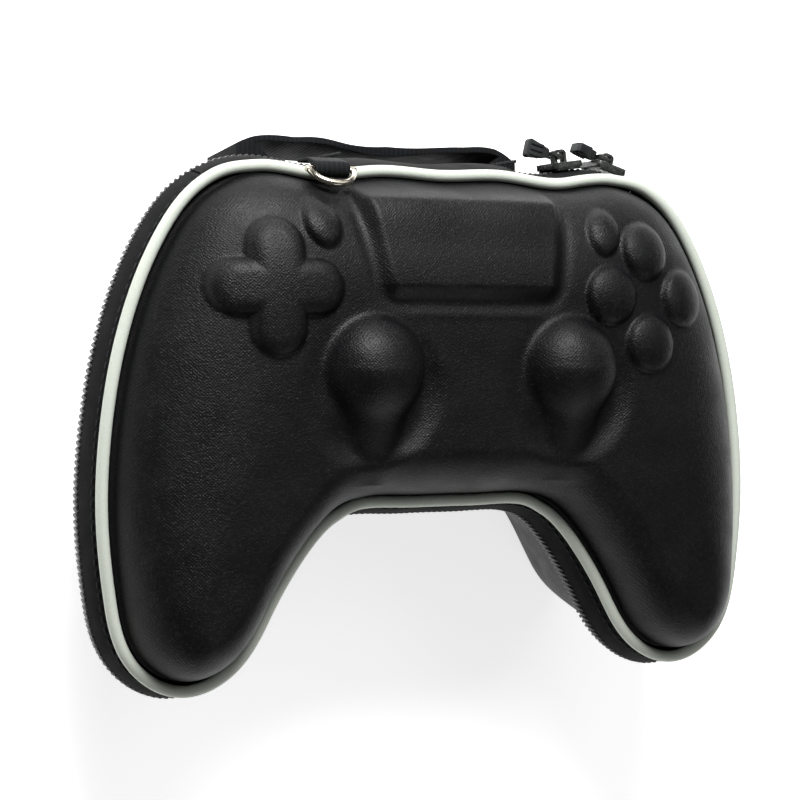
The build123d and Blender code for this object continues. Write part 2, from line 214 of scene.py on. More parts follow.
# Cord covered in woven cloth: a pale, dull and even line round the rim
PIPING = Finish(
    name="cloth_covered_cord",
    slot=Slot.PIPING,
    shade="#c3c9be",
    light="#d6dcd0",
    roughness=0.6,
    weave=Weave.CROSSED,
    period_mm=0.4,
    bump_mm=0.02,
    mottle_mm=14.0,
)
# Woven polyester zipper tape: black, and duller than the shell
TAPE = Finish(
    name="woven_polyester_tape",
    slot=Slot.TAPE,
    shade="#060607",
    light="#151618",
    roughness=0.8,
    weave=Weave.CROSSED,
    period_mm=0.5,
    bump_mm=0.05,
    mottle_mm=6.0,
    gloss=0.15,
)
# Extruded nylon: black plastic teeth, each with a small bright spot
COIL = Finish(
    name="extruded_nylon",
    slot=Slot.COIL,
    shade="#0b0b0d",
    light="#1e1e22",
    roughness=0.34,
    weave=Weave.PLAIN,
    period_mm=0.5,
    bump_mm=0.01,
    mottle_mm=3.0,
    gloss=0.45,
)
# Polyester sewing thread: dull, and a little lighter than the tape
THREAD = Finish(
    name="polyester_thread",
    slot=Slot.THREAD,
    shade="#141517",
    light="#2a2b2e",
    roughness=0.7,
    weave=Weave.PLAIN,
    period_mm=0.25,
    bump_mm=0.02,
    mottle_mm=2.0,
)
# Die-cast zinc with black paint, worn pale in spots: dark metal with sharp highlights
SLIDER = Finish(
    name="painted_zinc_casting",
    slot=Slot.SLIDER,
    shade="#131517",
    light="#83867f",
    roughness=0.3,
    weave=Weave.PLAIN,
    period_mm=0.8,
    bump_mm=0.01,
    mottle_mm=2.5,
    metallic=0.7,
    coat=0.3,
)
# Moulded soft plastic: even dark grey, without shine
GRIP = Finish(
    name="moulded_soft_plastic",
    slot=Slot.GRIP,
    shade="#191b1c",
    light="#303334",
    roughness=0.6,
    weave=Weave.PLAIN,
    period_mm=0.35,
    bump_mm=0.02,
    mottle_mm=2.0,
)
# Woven nylon webbing: black, with fine ribs across its length
WEBBING = Finish(
    name="woven_nylon_webbing",
    slot=Slot.WEBBING,
    shade="#090a0c",
    light="#1c1e22",
    roughness=0.75,
    weave=Weave.RIBBED,
    period_mm=1.3,
    bump_mm=0.06,
    mottle_mm=7.0,
    gloss=0.2,
)
# Nickel-plated steel wire: pale metal with small sharp highlights
RING = Finish(
    name="nickel_plated_steel",
    slot=Slot.RING,
    shade="#cfc8b8",
    light="#ece6d8",
    roughness=0.22,
    weave=Weave.PLAIN,
    period_mm=0.6,
    bump_mm=0.004,
    mottle_mm=1.5,
    metallic=1.0,
    coat=0.1,
)


def linear(shade: str) -> tuple[float, float, float, float]:
    """Turns an sRGB hex colour into a linear one.

    Args:
        shade: Colour such as "#1a2b3c".

    Returns:
        Linear red, green, blue and alpha.
    """
    parts = [int(shade[i : i + 2], 16) / 255 for i in (1, 3, 5)]
    red, green, blue = (p / 12.92 if p <= 0.04045 else ((p + 0.055) / 1.055) ** 2.4 for p in parts)
    return red, green, blue, 1.0


def add_node(
    tree: bpy.types.NodeTree, kind: str, inputs: dict | None = None, **settings: object
) -> bpy.types.Node:
    """Adds a node and sets it up.

    Args:
        tree: The node tree.
        kind: The node's type name.
        inputs: Values or output sockets by input name or number.
        **settings: Attributes of the node.

    Returns:
        The new node.
    """
    node = tree.nodes.new(kind)
    for name, value in settings.items():
        setattr(node, name, value)
    for key, value in (inputs or {}).items():
        if isinstance(value, bpy.types.NodeSocket):
            tree.links.new(value, node.inputs[key])
        else:
            node.inputs[key].default_value = value
    return node


class MaterialShop:
    """Makes each finish's material once."""

    def __init__(self) -> None:
        """Starts with no material made."""
        self._made: dict[Finish, bpy.types.Material] = {}

    def get(self, finish: Finish) -> bpy.types.Material:
        """Gives a finish's material.

        Args:
            finish: The finish.

        Returns:
            Its material.
        """
        if finish not in self._made:
            self._made[finish] = self._make(finish)
        return self._made[finish]

    def _make(self, finish: Finish) -> bpy.types.Material:
        """Builds the node tree of one finish.

        Args:
            finish: The finish.

        Returns:
            The new material.
        """
        material = bpy.data.materials.new(finish.name)
        material.use_nodes = True
        tree = material.node_tree
        shader = tree.nodes["Principled BSDF"]
        place = add_node(tree, "ShaderNodeTexCoord").outputs["Object"]
        threads = self._threads(tree, place, finish)
        noises = []
        for scale, detail in ((1 / finish.mottle_mm, 4.0), (0.7 / finish.period_mm, 2.0)):
            inputs = {"Vector": place, "Scale": scale / MM, "Detail": detail}
            noises.append(add_node(tree, "ShaderNodeTexNoise", inputs).outputs["Fac"])
        mottle, fleck = noises
        mixed = add_node(tree, "ShaderNodeMath", {0: threads, 1: fleck}, operation="MULTIPLY")
        inputs = {"Value": mixed.outputs[0], "From Min": 0.1, "From Max": 0.62}
        raised = add_node(tree, "ShaderNodeMapRange", inputs)
        inputs = {0: raised.outputs["Result"], 1: mottle}
        share = add_node(tree, "ShaderNodeMath", inputs, operation="MULTIPLY")
        inputs = {"Factor": share.outputs[0], "A": linear(finish.shade), "B": linear(finish.light)}
        colour = add_node(tree, "ShaderNodeMix", inputs, data_type="RGBA")
        inputs = {
            "Value": mottle,
            "From Min": 0.3,
            "From Max": 0.7,
            "To Min": finish.roughness - 0.07,
            "To Max": min(1.0, finish.roughness + 0.07),
        }
        rough = add_node(tree, "ShaderNodeMapRange", inputs)
        inputs = {"Height": mixed.outputs[0], "Distance": finish.bump_mm * MM * 3, "Strength": 0.8}
        bump = add_node(tree, "ShaderNodeBump", inputs)
        tree.links.new(colour.outputs["Result"], shader.inputs["Base Color"])
        tree.links.new(rough.outputs["Result"], shader.inputs["Roughness"])
        tree.links.new(bump.outputs["Normal"], shader.inputs["Normal"])
        shader.inputs["Metallic"].default_value = finish.metallic
        shader.inputs["Specular IOR Level"].default_value = finish.gloss
        shader.inputs["Coat Weight"].default_value = finish.coat
        shader.inputs["Coat Roughness"].default_value = 0.25
        return material

    def _threads(
        self, tree: bpy.types.NodeTree, place: bpy.types.NodeSocket, finish: Finish
    ) -> bpy.types.NodeSocket:
        """Adds the height of the threads, from 0 to 1.

        Args:
            tree: The node tree.
            place: The coordinates.
            finish: The finish.

        Returns:
            The socket with the height.
        """
        fine = 1 / (finish.period_mm * MM)
        if finish.weave is Weave.PLAIN:
            inputs = {"Vector": place, "Scale": fine, "Detail": 3.0}
            return add_node(tree, "ShaderNodeTexNoise", inputs).outputs["Fac"]
        if finish.weave is Weave.RIBBED:
            wave = self._waves(tree, place, finish, "X")[0]
            inputs = {"Value": wave, "From Min": -1.0}
            return add_node(tree, "ShaderNodeMapRange", inputs).outputs["Result"]
        if finish.weave is Weave.MOULDED:
            return self._moulded(tree, place, finish)
        sets = []
        for scale in ((fine, fine * 0.5, fine * 0.6), (fine * 0.5, fine, fine * 0.6)):
            stretched = add_node(tree, "ShaderNodeMapping", {"Vector": place, "Scale": scale})
            inputs = {"Vector": stretched.outputs["Vector"], "Scale": 1.0, "Detail": 1.0}
            sets.append(add_node(tree, "ShaderNodeTexNoise", inputs).outputs["Fac"])
        inputs = {0: sets[0], 1: sets[1]}
        return add_node(tree, "ShaderNodeMath", inputs, operation="MAXIMUM").outputs[0]

    def _waves(
        self, tree: bpy.types.NodeTree, place: bpy.types.NodeSocket, finish: Finish, axes: str
    ) -> list[bpy.types.NodeSocket]:
        """Adds a sine wave of the thread spacing along each of the axes.

        Args:
            tree: The node tree.
            place: The coordinates.
            finish: The finish.
            axes: Letters of the axes.

        Returns:
            The waves' sockets, from -1 to 1.
        """
        parts = add_node(tree, "ShaderNodeSeparateXYZ", {"Vector": place}).outputs
        turn = 2 * math.pi / (finish.period_mm * MM)
        waves = []
        for axis in axes:
            angle = add_node(tree, "ShaderNodeMath", {0: parts[axis], 1: turn}, operation="MULTIPLY")
            wave = add_node(tree, "ShaderNodeMath", {0: angle.outputs[0]}, operation="SINE")
            waves.append(wave.outputs[0])
        return waves

    def _moulded(
        self, tree: bpy.types.NodeTree, place: bpy.types.NodeSocket, finish: Finish
    ) -> bpy.types.NodeSocket:
        """Adds the height of a plain weave that was pressed along Z over the mould.

        Args:
            tree: The node tree.
            place: The coordinates.
            finish: The finish.

        Returns:
            The socket with the height.
        """
        waves = self._waves(tree, place, finish, "XY")
        weave = add_node(tree, "ShaderNodeMath", {0: waves[0], 1: waves[1]}, operation="MULTIPLY")
        inputs = {"Value": weave.outputs[0], "From Min": -1.0, "To Min": 0.25, "To Max": 1.0}
        crossing = add_node(tree, "ShaderNodeMapRange", inputs)
        inputs = {"Vector": place, "Scale": 1.6 / (finish.period_mm * MM), "Detail": 2.0}
        yarn = add_node(tree, "ShaderNodeTexNoise", inputs)
        inputs = {"Value": yarn.outputs["Fac"], "From Min": 0.32, "From Max": 0.68}
        spread = add_node(tree, "ShaderNodeMapRange", inputs)
        inputs = {0: crossing.outputs["Result"], 1: spread.outputs["Result"]}
        return add_node(tree, "ShaderNodeMath", inputs, operation="MULTIPLY").outputs[0]


class Outline:
    """The case's smooth closed outline and the crown line inside it, in millimetres."""

    def __init__(self) -> None:
        """Fits both closed curves through their mirrored points."""
        half = []
        for rows, reach in (
            (UPPER_OUTLINE, TOP_REACH),
            (GRIP_OUTLINE, -GRIP_DROP),
            (ARCH_OUTLINE, -ARCH_DROP),
        ):
            half += [(x * HALF_WIDTH, y * reach, cx * HALF_WIDTH, cy * reach) for x, y, cx, cy in rows]
        ring = np.array(half + [(-x, y, -cx, cy) for x, y, cx, cy in reversed(half[1:-1])])
        steps = np.linalg.norm(np.roll(ring[:, :2], -1, 0) - ring[:, :2], axis=1)
        self._knots = np.concatenate([[0.0], np.cumsum(steps)])
        self._edge = self._fit(ring[:, :2])
        self._crown = self._fit(ring[:, 2:])

    def _fit(self, points: np.ndarray) -> np.ndarray:
        """Solves the slopes of a closed cubic through points.

        Args:
            points: The points.

        Returns:
            Points and slopes, stacked.
        """
        count = len(points)
        gap = np.diff(self._knots)
        matrix = np.zeros((count, count))
        right = np.zeros((count, 2))
        for i in range(count):
            before, after = gap[i - 1], gap[i]
            matrix[i, i - 1] = 1 / before
            matrix[i, i] = 2 / before + 2 / after
            matrix[i, (i + 1) % count] = 1 / after
            left = (points[i] - points[i - 1]) / before**2
            right[i] = 3 * (left + (points[(i + 1) % count] - points[i]) / after**2)
        return np.stack([points, np.linalg.solve(matrix, right)])

    def _walk(self, curve: np.ndarray, where: np.ndarray, slope: bool = False) -> np.ndarray:
        """Evaluates a closed cubic.

        Args:
            curve: Points and slopes.
            where: Distances along the knots.
            slope: Gives the derivative in place of the position.

        Returns:
            Positions or derivatives.
        """
        where = np.mod(where, self._knots[-1])
        index = np.clip(np.searchsorted(self._knots, where, side="right") - 1, 0, len(curve[0]) - 1)
        after = (index + 1) % len(curve[0])
        gap = np.diff(self._knots)[index][:, None]
        t = (where - self._knots[index])[:, None] / gap
        p0, p1 = curve[0][index], curve[0][after]
        m0, m1 = curve[1][index] * gap, curve[1][after] * gap
        if slope:
            rate = (6 * t**2 - 6 * t) * (p0 - p1) + (3 * t**2 - 4 * t + 1) * m0
            return (rate + (3 * t**2 - 2 * t) * m1) / gap
        value = (2 * t**3 - 3 * t**2 + 1) * p0 + (t**3 - 2 * t**2 + t) * m0
        return value + (3 * t**2 - 2 * t**3) * p1 + (t**3 - t**2) * m1

    @property
    def length(self) -> float:
        """Length along the knots."""
        return float(self._knots[-1])

    def points(self, where: np.ndarray, grow: float = 0.0, bulge: float = 0.0) -> np.ndarray:
        """Gives points on the outline, grown outward.

        Args:
            where: Distances along the knots, clockwise from the top centre.
            grow: Distance outward.
            bulge: More distance outward on the grips.

        Returns:
            Points as rows of x, y.
        """
        place = self._walk(self._edge, where)
        on_grip = np.clip(-place[:, 1] / GRIP_DROP * 1.5 - 0.1, 0, 1)[:, None]
        return place + self.outward(where) * (grow + bulge * on_grip)

    def side_share(self, where: np.ndarray) -> np.ndarray:
        """Tells where the back half is drawn in: on all that faces sideways and on the grips.

        Args:
            where: Distances along the knots.

        Returns:
            0 along the hinge edge and in the arch, 1 on the sides and the grips.
        """
        sideways = step_up((np.abs(self.outward(where)[:, 0]) - SIDE_FROM) / SIDE_OVER)
        on_grip = step_up((GRIP_FROM_Y - self._walk(self._edge, where)[:, 1]) / GRIP_OVER)
        return np.maximum(sideways, on_grip)

    def tucked(
        self, where: np.ndarray, stand: float, z: float, bulge: float = 0.0
    ) -> np.ndarray:
        """Gives points on the bands, which draw in below the teeth on the sides.

        Args:
            where: Distances along the knots.
            stand: Distance outward.
            z: Height.
            bulge: More distance outward on the grips.

        Returns:
            Points as rows of x, y.
        """
        drawn = TUCK * max(0.0, FRONT_TEETH_Z - z) * self.side_share(where)[:, None]
        return self.points(where, stand, bulge) - drawn * self.outward(where)

    def outward(self, where: np.ndarray) -> np.ndarray:
        """Gives unit vectors outward.

        Args:
            where: Distances along the knots.

        Returns:
            Rows of x, y.
        """
        along = self._walk(self._edge, where, slope=True)
        along /= np.linalg.norm(along, axis=1)[:, None]
        return np.stack([-along[:, 1], along[:, 0]], axis=1)

    def toward_crown(
        self, where: np.ndarray, grow: float | np.ndarray, share: float | np.ndarray
    ) -> np.ndarray:
        """Gives points part of the way from the grown outline to the crown line.

        Args:
            where: Distances along the knots.
            grow: Distance outward at the edge.
            share: Share of the way, from 0 to 1.

        Returns:
            Points as rows of x, y.
        """
        edge = self.points(where, grow)
        return edge + share * (self._walk(self._crown, where) - edge)

    def at_x(self, x: float) -> float:
        """Finds the place on the top edge at x.

        Args:
            x: Distance right of the middle.

        Returns:
            Distance along the knots, below zero left of the middle.
        """
        where = np.linspace(-self.length / 4, self.length / 4, 4001)
        place = self._walk(self._edge, where)
        on_top = place[:, 1] > 30
        return float(where[on_top][np.argmin(np.abs(place[on_top, 0] - x))])


def step_up(value: np.ndarray) -> np.ndarray:
    """Smooth step from 0 to 1.

    Args:
        value: Any values.

    Returns:
        The stepped values.
    """
    t = np.clip(value, 0, 1)
    return t * t * (3 - 2 * t)


def puff(depth: np.ndarray, width: float) -> np.ndarray:
    """Rounded rise from an edge, steep at the foot and flat at width.

    Args:
        depth: Distance inside the edge.
        width: Distance over which it rises.

    Returns:
        Rise from 0 to 1.
    """
    t = np.clip(depth / width, 0, 1)
    return np.sqrt(1 - (1 - t) ** 2) * step_up((depth + 0.6) / 1.8)


@dataclass(frozen=True)
class Feature:
    """One moulded feature of the lid, raised or sunk, in millimetres."""

    x: float
    y: float
    rise: float

    def offset(self, x: np.ndarray, y: np.ndarray) -> np.ndarray:
        """Gives the height that the feature adds.

        Args:
            x: Places to the right.
            y: Places toward the hinge.

        Returns:
            Added heights.
        """
        raise NotImplementedError


@dataclass(frozen=True)
class Cross(Feature):
    """Directional pad with four puffed lobes."""

    reach: float = 16.4
    lobe: float = 6.9
    middle_share: float = 1.1
    end_fall: float = 0.32

    def offset(self, x: np.ndarray, y: np.ndarray) -> np.ndarray:
        """Gives the height of the pad.

        Args:
            x: Places to the right.
            y: Places toward the hinge.

        Returns:
            Added heights, highest in the middle.
        """
        dx, dy = x - self.x, y - self.y
        total = np.zeros_like(dx)
        for along, across in ((dx, dy), (dy, dx)):
            core = np.maximum(np.abs(along) - (self.reach - self.lobe), 0)
            depth = self.lobe - np.hypot(core, across)
            total = np.maximum(total, puff(depth, self.lobe * 0.62))
        dome = self.middle_share - self.end_fall * (dx**2 + dy**2) / self.reach**2
        return self.rise * total * dome


@dataclass(frozen=True)
class Button(Feature):
    """Round or oval dome."""

    radius: float = 7.5
    stretch: float = 1.0
    lean: float = 0.0

    def offset(self, x: np.ndarray, y: np.ndarray) -> np.ndarray:
        """Gives the height of the dome.

        Args:
            x: Places to the right.
            y: Places toward the hinge.

        Returns:
            Added heights.
        """
        turn = math.radians(self.lean)
        dx, dy = x - self.x, y - self.y
        across = dx * math.cos(turn) + dy * math.sin(turn)
        along = (dy * math.cos(turn) - dx * math.sin(turn)) / self.stretch
        return self.rise * puff(self.radius - np.hypot(across, along), self.radius)


@dataclass(frozen=True)
class Plate(Feature):
    """Touchpad: a plate that widens and rises toward the hinge edge, with a groove round its foot."""

    half_low: float = 23.6
    half_high: float = 28.6
    depth: float = 27.0
    corner: float = 3.6
    edge: float = 4.0
    groove: float = 0.4
    swell: float = 1.1
    swell_from_y: float = 33.0
    swell_over: float = 15.0

    def offset(self, x: np.ndarray, y: np.ndarray) -> np.ndarray:
        """Gives the height of the plate less its groove.

        Args:
            x: Places to the right.
            y: Places toward the hinge.

        Returns:
            Added heights.
        """
        t = np.clip((y - self.y) / self.depth, 0, 1)
        half = self.half_low + (self.half_high - self.half_low) * t - self.corner
        away_x = np.abs(x) - half
        away_y = np.abs(y - self.y - self.depth / 2) - self.depth / 2 + self.corner
        outside = np.hypot(np.maximum(away_x, 0), np.maximum(away_y, 0))
        inside = self.corner - outside - np.minimum(np.maximum(away_x, away_y), 0)
        foot = self.groove * np.exp(-((inside + 1.6) ** 2) / 1.5**2)
        top = 1 + self.swell * step_up((y - self.swell_from_y) / self.swell_over)
        return self.rise * step_up((inside + 0.6) / self.edge) * top - foot


@dataclass(frozen=True)
class Well(Feature):
    """Round hollow under a thumbstick, deepest at its lower outer side."""

    radius: float = 19.4
    edge: float = 6.0
    least_share: float = 0.25

    def offset(self, x: np.ndarray, y: np.ndarray) -> np.ndarray:
        """Gives the depth of the hollow, as a height below zero.

        Args:
            x: Places to the right.
            y: Places toward the hinge.

        Returns:
            Added heights.
        """
        depth = self.radius - np.hypot(x - self.x, y - self.y)
        lower = step_up((x - self.x + self.y + 8 - y) / 22)
        share = self.least_share + (1 - self.least_share) * lower
        return self.rise * step_up((depth + 0.5) / self.edge) * share


@dataclass(frozen=True)
class Stick:
    """Thumbstick's ball with the ramp that runs from it down to the lid, in millimetres."""

    x: float
    y: float = 4.9
    radius: float = 13.0
    rise: float = 9.5
    tail: float = 28.0
    end_radius: float = 6.2
    round_share: float = 0.92

    def surface(self, x: np.ndarray, y: np.ndarray, crown: float) -> np.ndarray:
        """Gives the height of the ball and its ramp, which run on straight past their round part.

        Args:
            x: Places to the right.
            y: Places toward the hinge.
            crown: Height of the lid's crown.

        Returns:
            Heights, far below the crown outside the stick.
        """
        centre = crown - self.radius + self.rise
        dx, dy = x - self.x, y - self.y
        far = np.hypot(dx, dy)
        held = self.round_share * self.radius
        slope = held / math.sqrt(self.radius**2 - held**2)
        ball = centre + np.sqrt(self.radius**2 - np.minimum(far, held) ** 2)
        ball = ball - slope * np.maximum(far - held, 0)
        t = np.clip(-dy / self.tail, 0, 1)
        wide = 0.9 * self.radius + (self.end_radius - 0.9 * self.radius) * t
        line = centre - 0.4 - 1.6 * t + (crown - self.end_radius - 1.6 - centre) * t**1.3
        away = np.abs(dx)
        reached = np.minimum(away, self.round_share * wide)
        ramp = line + np.sqrt(wide**2 - reached**2) - slope * (away - reached)
        ramp = ramp - 4 * np.maximum(dy, 0) - 3 * np.maximum(-dy - self.tail, 0)
        return (ball + ramp + np.sqrt((ball - ramp) ** 2 + 3.0)) / 2 - 0.35


FEATURES: tuple[Feature, ...] = (
    Well(27.2, -0.3, -1.9),
    Well(-26.6, -0.3, -1.9),
    Cross(-50.5, 23.8, 2.9),
    Plate(0.3, 21.6, 2.1),
    Button(38.9, 38.6, 2.2, radius=4.7, stretch=1.35, lean=-14),
    Button(-38.3, 39.2, 2.2, radius=4.9, stretch=1.3, lean=14),
    Button(62.9, 22.6, 3.3),
    Button(39.2, 22.8, 3.3),
    Button(50.8, 34.2, 3.3),
    Button(51.0, 10.9, 3.3),
)
STICKS = (Stick(27.6), Stick(-26.2))


@dataclass
class MeshParts:
    """Vertices and faces of one piece while it is put together, in millimetres."""

    vertices: list[np.ndarray] = field(default_factory=list)
    faces: list[tuple[int, ...]] = field(default_factory=list)
    count: int = 0

    def add(self, points: np.ndarray) -> int:
        """Adds points.

        Args:
            points: Rows of x, y, z.

        Returns:
            Number of the first one.
        """
        first = self.count
        self.vertices.append(np.asarray(points, float))
        self.count += len(points)
        return first

    def join(self, first: int, second: int, size: int, closed: bool = True) -> None:
        """Joins two rows of points by quads.

        Args:
            first: Start of one row.
            second: Start of the other.
            size: Points in each.
            closed: Whether the rows close on themselves.
        """
        for i in range(size if closed else size - 1):
            j = (i + 1) % size
            self.faces.append((first + i, first + j, second + j, second + i))

    def join_rows(self, rows: Sequence[int], size: int, closed: bool = True) -> None:
        """Joins each row to the next one.

        Args:
            rows: Starts of the rows.
            size: Points in each.
            closed: Whether the rows close on themselves.
        """
        for first, second in zip(rows, rows[1:]):
            self.join(first, second, size, closed)

    def build(self, name: str, material: bpy.types.Material) -> bpy.types.Object:
        """Makes the object, in metres, with its doubles merged and its normals outward.

        Args:
            name: Name of the piece.
            material: Its material.

        Returns:
            The new object.
        """
        mesh = bpy.data.meshes.new(name)
        mesh.from_pydata((np.concatenate(self.vertices) * MM).tolist(), [], self.faces)
        shell = bmesh.new()
        shell.from_mesh(mesh)
        bmesh.ops.remove_doubles(shell, verts=shell.verts, dist=MERGE_DISTANCE)
        bmesh.ops.recalc_face_normals(shell, faces=shell.faces)
        shell.to_mesh(mesh)
        shell.free()
        mesh.materials.append(material)
        mesh.shade_smooth()
        mesh.set_sharp_from_angle(angle=math.radians(40))
        return link_piece(name, mesh)


def link_piece(name: str, mesh: bpy.types.Mesh) -> bpy.types.Object:
    """Adds a mesh to the scene.

    Args:
        name: Name of the piece.
        mesh: Its mesh.

    Returns:
        The new object.
    """
    piece = bpy.data.objects.new(name, mesh)
    bpy.context.scene.collection.objects.link(piece)
    return piece


def place_piece(
    piece: bpy.types.Object, body: Body, finish: Finish, *nodes: str
) -> bpy.types.Object:
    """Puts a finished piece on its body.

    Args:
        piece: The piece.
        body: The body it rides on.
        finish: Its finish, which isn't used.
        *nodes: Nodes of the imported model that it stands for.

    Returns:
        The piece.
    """
    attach(piece, body.value)
    if nodes:
        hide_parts(*nodes)
    return piece


def bend_piece(
    piece: bpy.types.Object, node: str
) -> bpy.types.Object:
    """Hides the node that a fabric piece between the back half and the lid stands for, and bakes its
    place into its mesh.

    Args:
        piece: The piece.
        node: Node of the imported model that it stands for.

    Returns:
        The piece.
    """
    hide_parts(node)
    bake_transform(piece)
    return piece


def level(points: np.ndarray, z: float) -> np.ndarray:
    """Gives flat points a height.

    Args:
        points: Rows of x, y.
        z: The height.

    Returns:
        Rows of x, y, z.
    """
    return np.column_stack([points, np.full(len(points), z)])


def fill_inside(parts: MeshParts, ring: np.ndarray, height: Callable) -> None:
    """Fills the inside of a closed row with a fine triangle grid.

    Args:
        parts: The piece.
        ring: The row's points as rows of x, y.
        height: Gives heights from x and y.
    """
    step = 0.9
    low, high = ring.min(0), ring.max(0)
    grid_x, grid_y = np.meshgrid(
        np.arange(low[0], high[0], step), np.arange(low[1], high[1], step * 0.866)
    )
    grid_x[1::2] += step / 2
    spots = np.column_stack([grid_x.ravel(), grid_y.ravel()])
    inside = np.zeros(len(spots), bool)
    nearest = np.full(len(spots), 1e9)
    for (ax, ay), (bx, by) in zip(ring, np.roll(ring, -1, 0)):
        crosses = (spots[:, 1] < ay) != (spots[:, 1] < by)
        cut = ax + (spots[:, 1] - ay) / (by - ay + 1e-12) * (bx - ax)
        inside ^= crosses & (spots[:, 0] < cut)
        nearest = np.minimum(nearest, np.hypot(spots[:, 0] - ax, spots[:, 1] - ay))
    spots = spots[inside & (nearest > step * 0.6)]
    flat = [Vector(p) for p in np.concatenate([ring, spots]).tolist()]
    edges = [(i, (i + 1) % len(ring)) for i in range(len(ring))]
    made = delaunay_2d_cdt(flat, edges, [], 1, 1e-7)
    places = np.array([tuple(v) for v in made[0]])
    heights = height(places[:, 0], places[:, 1])
    first = parts.add(np.column_stack([places, heights]))
    parts.faces += [tuple(first + i for i in face) for face in made[2]]


@dataclass
class SubAssembly:
    """One part of the case, which builds its pieces and puts each on its body."""

    outline: Outline
    shop: MaterialShop

    def make(self) -> list[bpy.types.Object]:
        """Builds the pieces.

        Returns:
            The pieces, each on its body.
        """
        raise NotImplementedError


@dataclass
class Lid(SubAssembly):
    """The lid: features moulded in its face, a plain hollow behind, closed into one solid."""

    columns: int = 860
    height: float = 19.0
    round_share: float = 0.9
    stick_blend: float = 1.6
    crease: float = 0.22
    crease_y: float = 17.6

    def crown(self, share: float, tall: float) -> float:
        """Height of the plain lid at a share of the way to the crown.

        Args:
            share: Share of the way.
            tall: Full height.

        Returns:
            Height above the rim.
        """
        t = min(share / self.round_share, 1.0)
        return tall * math.sqrt(1 - (1 - t) ** 2)

    def moulded(self, x: np.ndarray, y: np.ndarray, share: float) -> np.ndarray:
        """Height of the lid's face with its features.

        Args:
            x: Places to the right.
            y: Places toward the hinge.
            share: Share of the way to the crown.

        Returns:
            Heights.
        """
        base = RIM_Z + self.crown(share, self.height) + np.zeros_like(x)
        held = step_up(share / 0.05)
        for feature in FEATURES:
            base = base + held * feature.offset(x, y)
        for stick in STICKS:
            top = stick.surface(x, y, RIM_Z + self.height)
            base = (base + top + np.sqrt((base - top) ** 2 + self.stick_blend**2)) / 2
        fold = np.exp(-((y - self.crease_y) ** 2) / 0.7**2) * step_up((20 - np.abs(x - 1)) / 5)
        return base + held * self.crease * fold

    def hollow(self, x: np.ndarray, _y: np.ndarray, share: float) -> np.ndarray:
        """Height of the plain inside.

        Args:
            x: Places to the right.
            _y: Places toward the hinge, which the plain inside doesn't need.
            share: Share of the way to the crown.

        Returns:
            Heights.
        """
        return RIM_Z + self.crown(share, self.height - WALL) + np.zeros_like(x)

    def rings(
        self, parts: MeshParts, grow: float, shares: Sequence[float], height: Callable
    ) -> tuple[list[int], np.ndarray]:
        """Adds joined rows from the edge toward the crown.

        Args:
            parts: The piece.
            grow: Distance outward at the edge.
            shares: Shares of the way to the crown.
            height: Gives heights from x, y and share.

        Returns:
            Starts of the rows, and the last row's x, y.
        """
        where = np.linspace(0, self.outline.length, self.columns, endpoint=False)
        starts = []
        for share in shares:
            flat = self.outline.toward_crown(where, grow, share)
            heights = height(flat[:, 0], flat[:, 1], share)
            starts.append(parts.add(np.column_stack([flat, heights])))
        parts.join_rows(starts, self.columns)
        return starts, flat

    def make(self) -> list[bpy.types.Object]:
        """Builds the lid's shell.

        Returns:
            The piece.
        """
        parts = MeshParts()
        near = [0.0, 0.002, 0.007, 0.015, 0.026, 0.04, 0.058, 0.08]
        shares = near + list(np.linspace(0.1, 0.96, 56))
        outer, flat = self.rings(parts, 0.0, shares, self.moulded)
        fill_inside(parts, flat, lambda x, y: self.moulded(x, y, shares[-1]))
        shares = [0.0, 0.02, 0.06, 0.13, 0.23, 0.36, 0.52, 0.7, 0.9]
        inner, _ = self.rings(parts, -WALL, shares, self.hollow)
        parts.faces.append(tuple(range(inner[-1], inner[-1] + self.columns)))
        parts.join(outer[0], inner[0], self.columns)
        piece = parts.build("lid_shell", self.shop.get(LAMINATE))
        return [place_piece(piece, Body.LID, LAMINATE, "front_shell")]


@dataclass
class BackHalf(SubAssembly):
    """The moulded tray that the case lies on, with pairs of values for the hinge edge and the sides."""

    columns: int = 400
    depth: float = 34.0
    straight: tuple[float, float] = (14.0, 0.5)
    rounding: tuple[float, float] = (0.45, 0.2)
    draw: float = 0.62
    steps: int = 24

    def rows(self, parts: MeshParts, wall: float) -> list[int]:
        """Adds rows from the rim down, drawn in more on the sides than at the hinge edge.

        Args:
            parts: The piece.
            wall: Distance inside the outer surface.

        Returns:
            Starts of the rows.
        """
        where = np.linspace(0, self.outline.length, self.columns, endpoint=False)
        side = self.outline.side_share(where)
        straight, rounding = (
            hinge + (sides - hinge) * side for hinge, sides in (self.straight, self.rounding)
        )
        grow = (REAR_STAND - wall - TUCK * (FRONT_TEETH_Z - REAR_RIM_Z) * side)[:, None]
        starts = []
        for step in range(-2, self.steps + 1):
            angle = math.pi / 2 * max(step, 0) / self.steps
            upright = straight * min(1.0, (step + 2) / 2)
            drop = upright + (self.depth - wall - straight) * math.sin(angle)
            share = rounding * (1 - math.cos(angle)) + self.draw * side * drop / self.depth
            flat = self.outline.toward_crown(where, grow, share[:, None])
            starts.append(parts.add(np.column_stack([flat, REAR_RIM_Z - drop])))
        return starts

    def make(self) -> list[bpy.types.Object]:
        """Builds the back half, closed into one solid.

        Returns:
            The piece.
        """
        parts = MeshParts()
        rims = []
        for wall in (0.0, WALL):
            rows = self.rows(parts, wall)
            parts.join_rows(rows, self.columns)
            parts.faces.append(tuple(range(rows[-1], rows[-1] + self.columns)))
            rims.append(rows[0])
        parts.join_rows(rims, self.columns)
        piece = parts.build("back_shell", self.shop.get(LAMINATE))
        return [place_piece(piece, Body.BASE, LAMINATE, "rear_shell")]


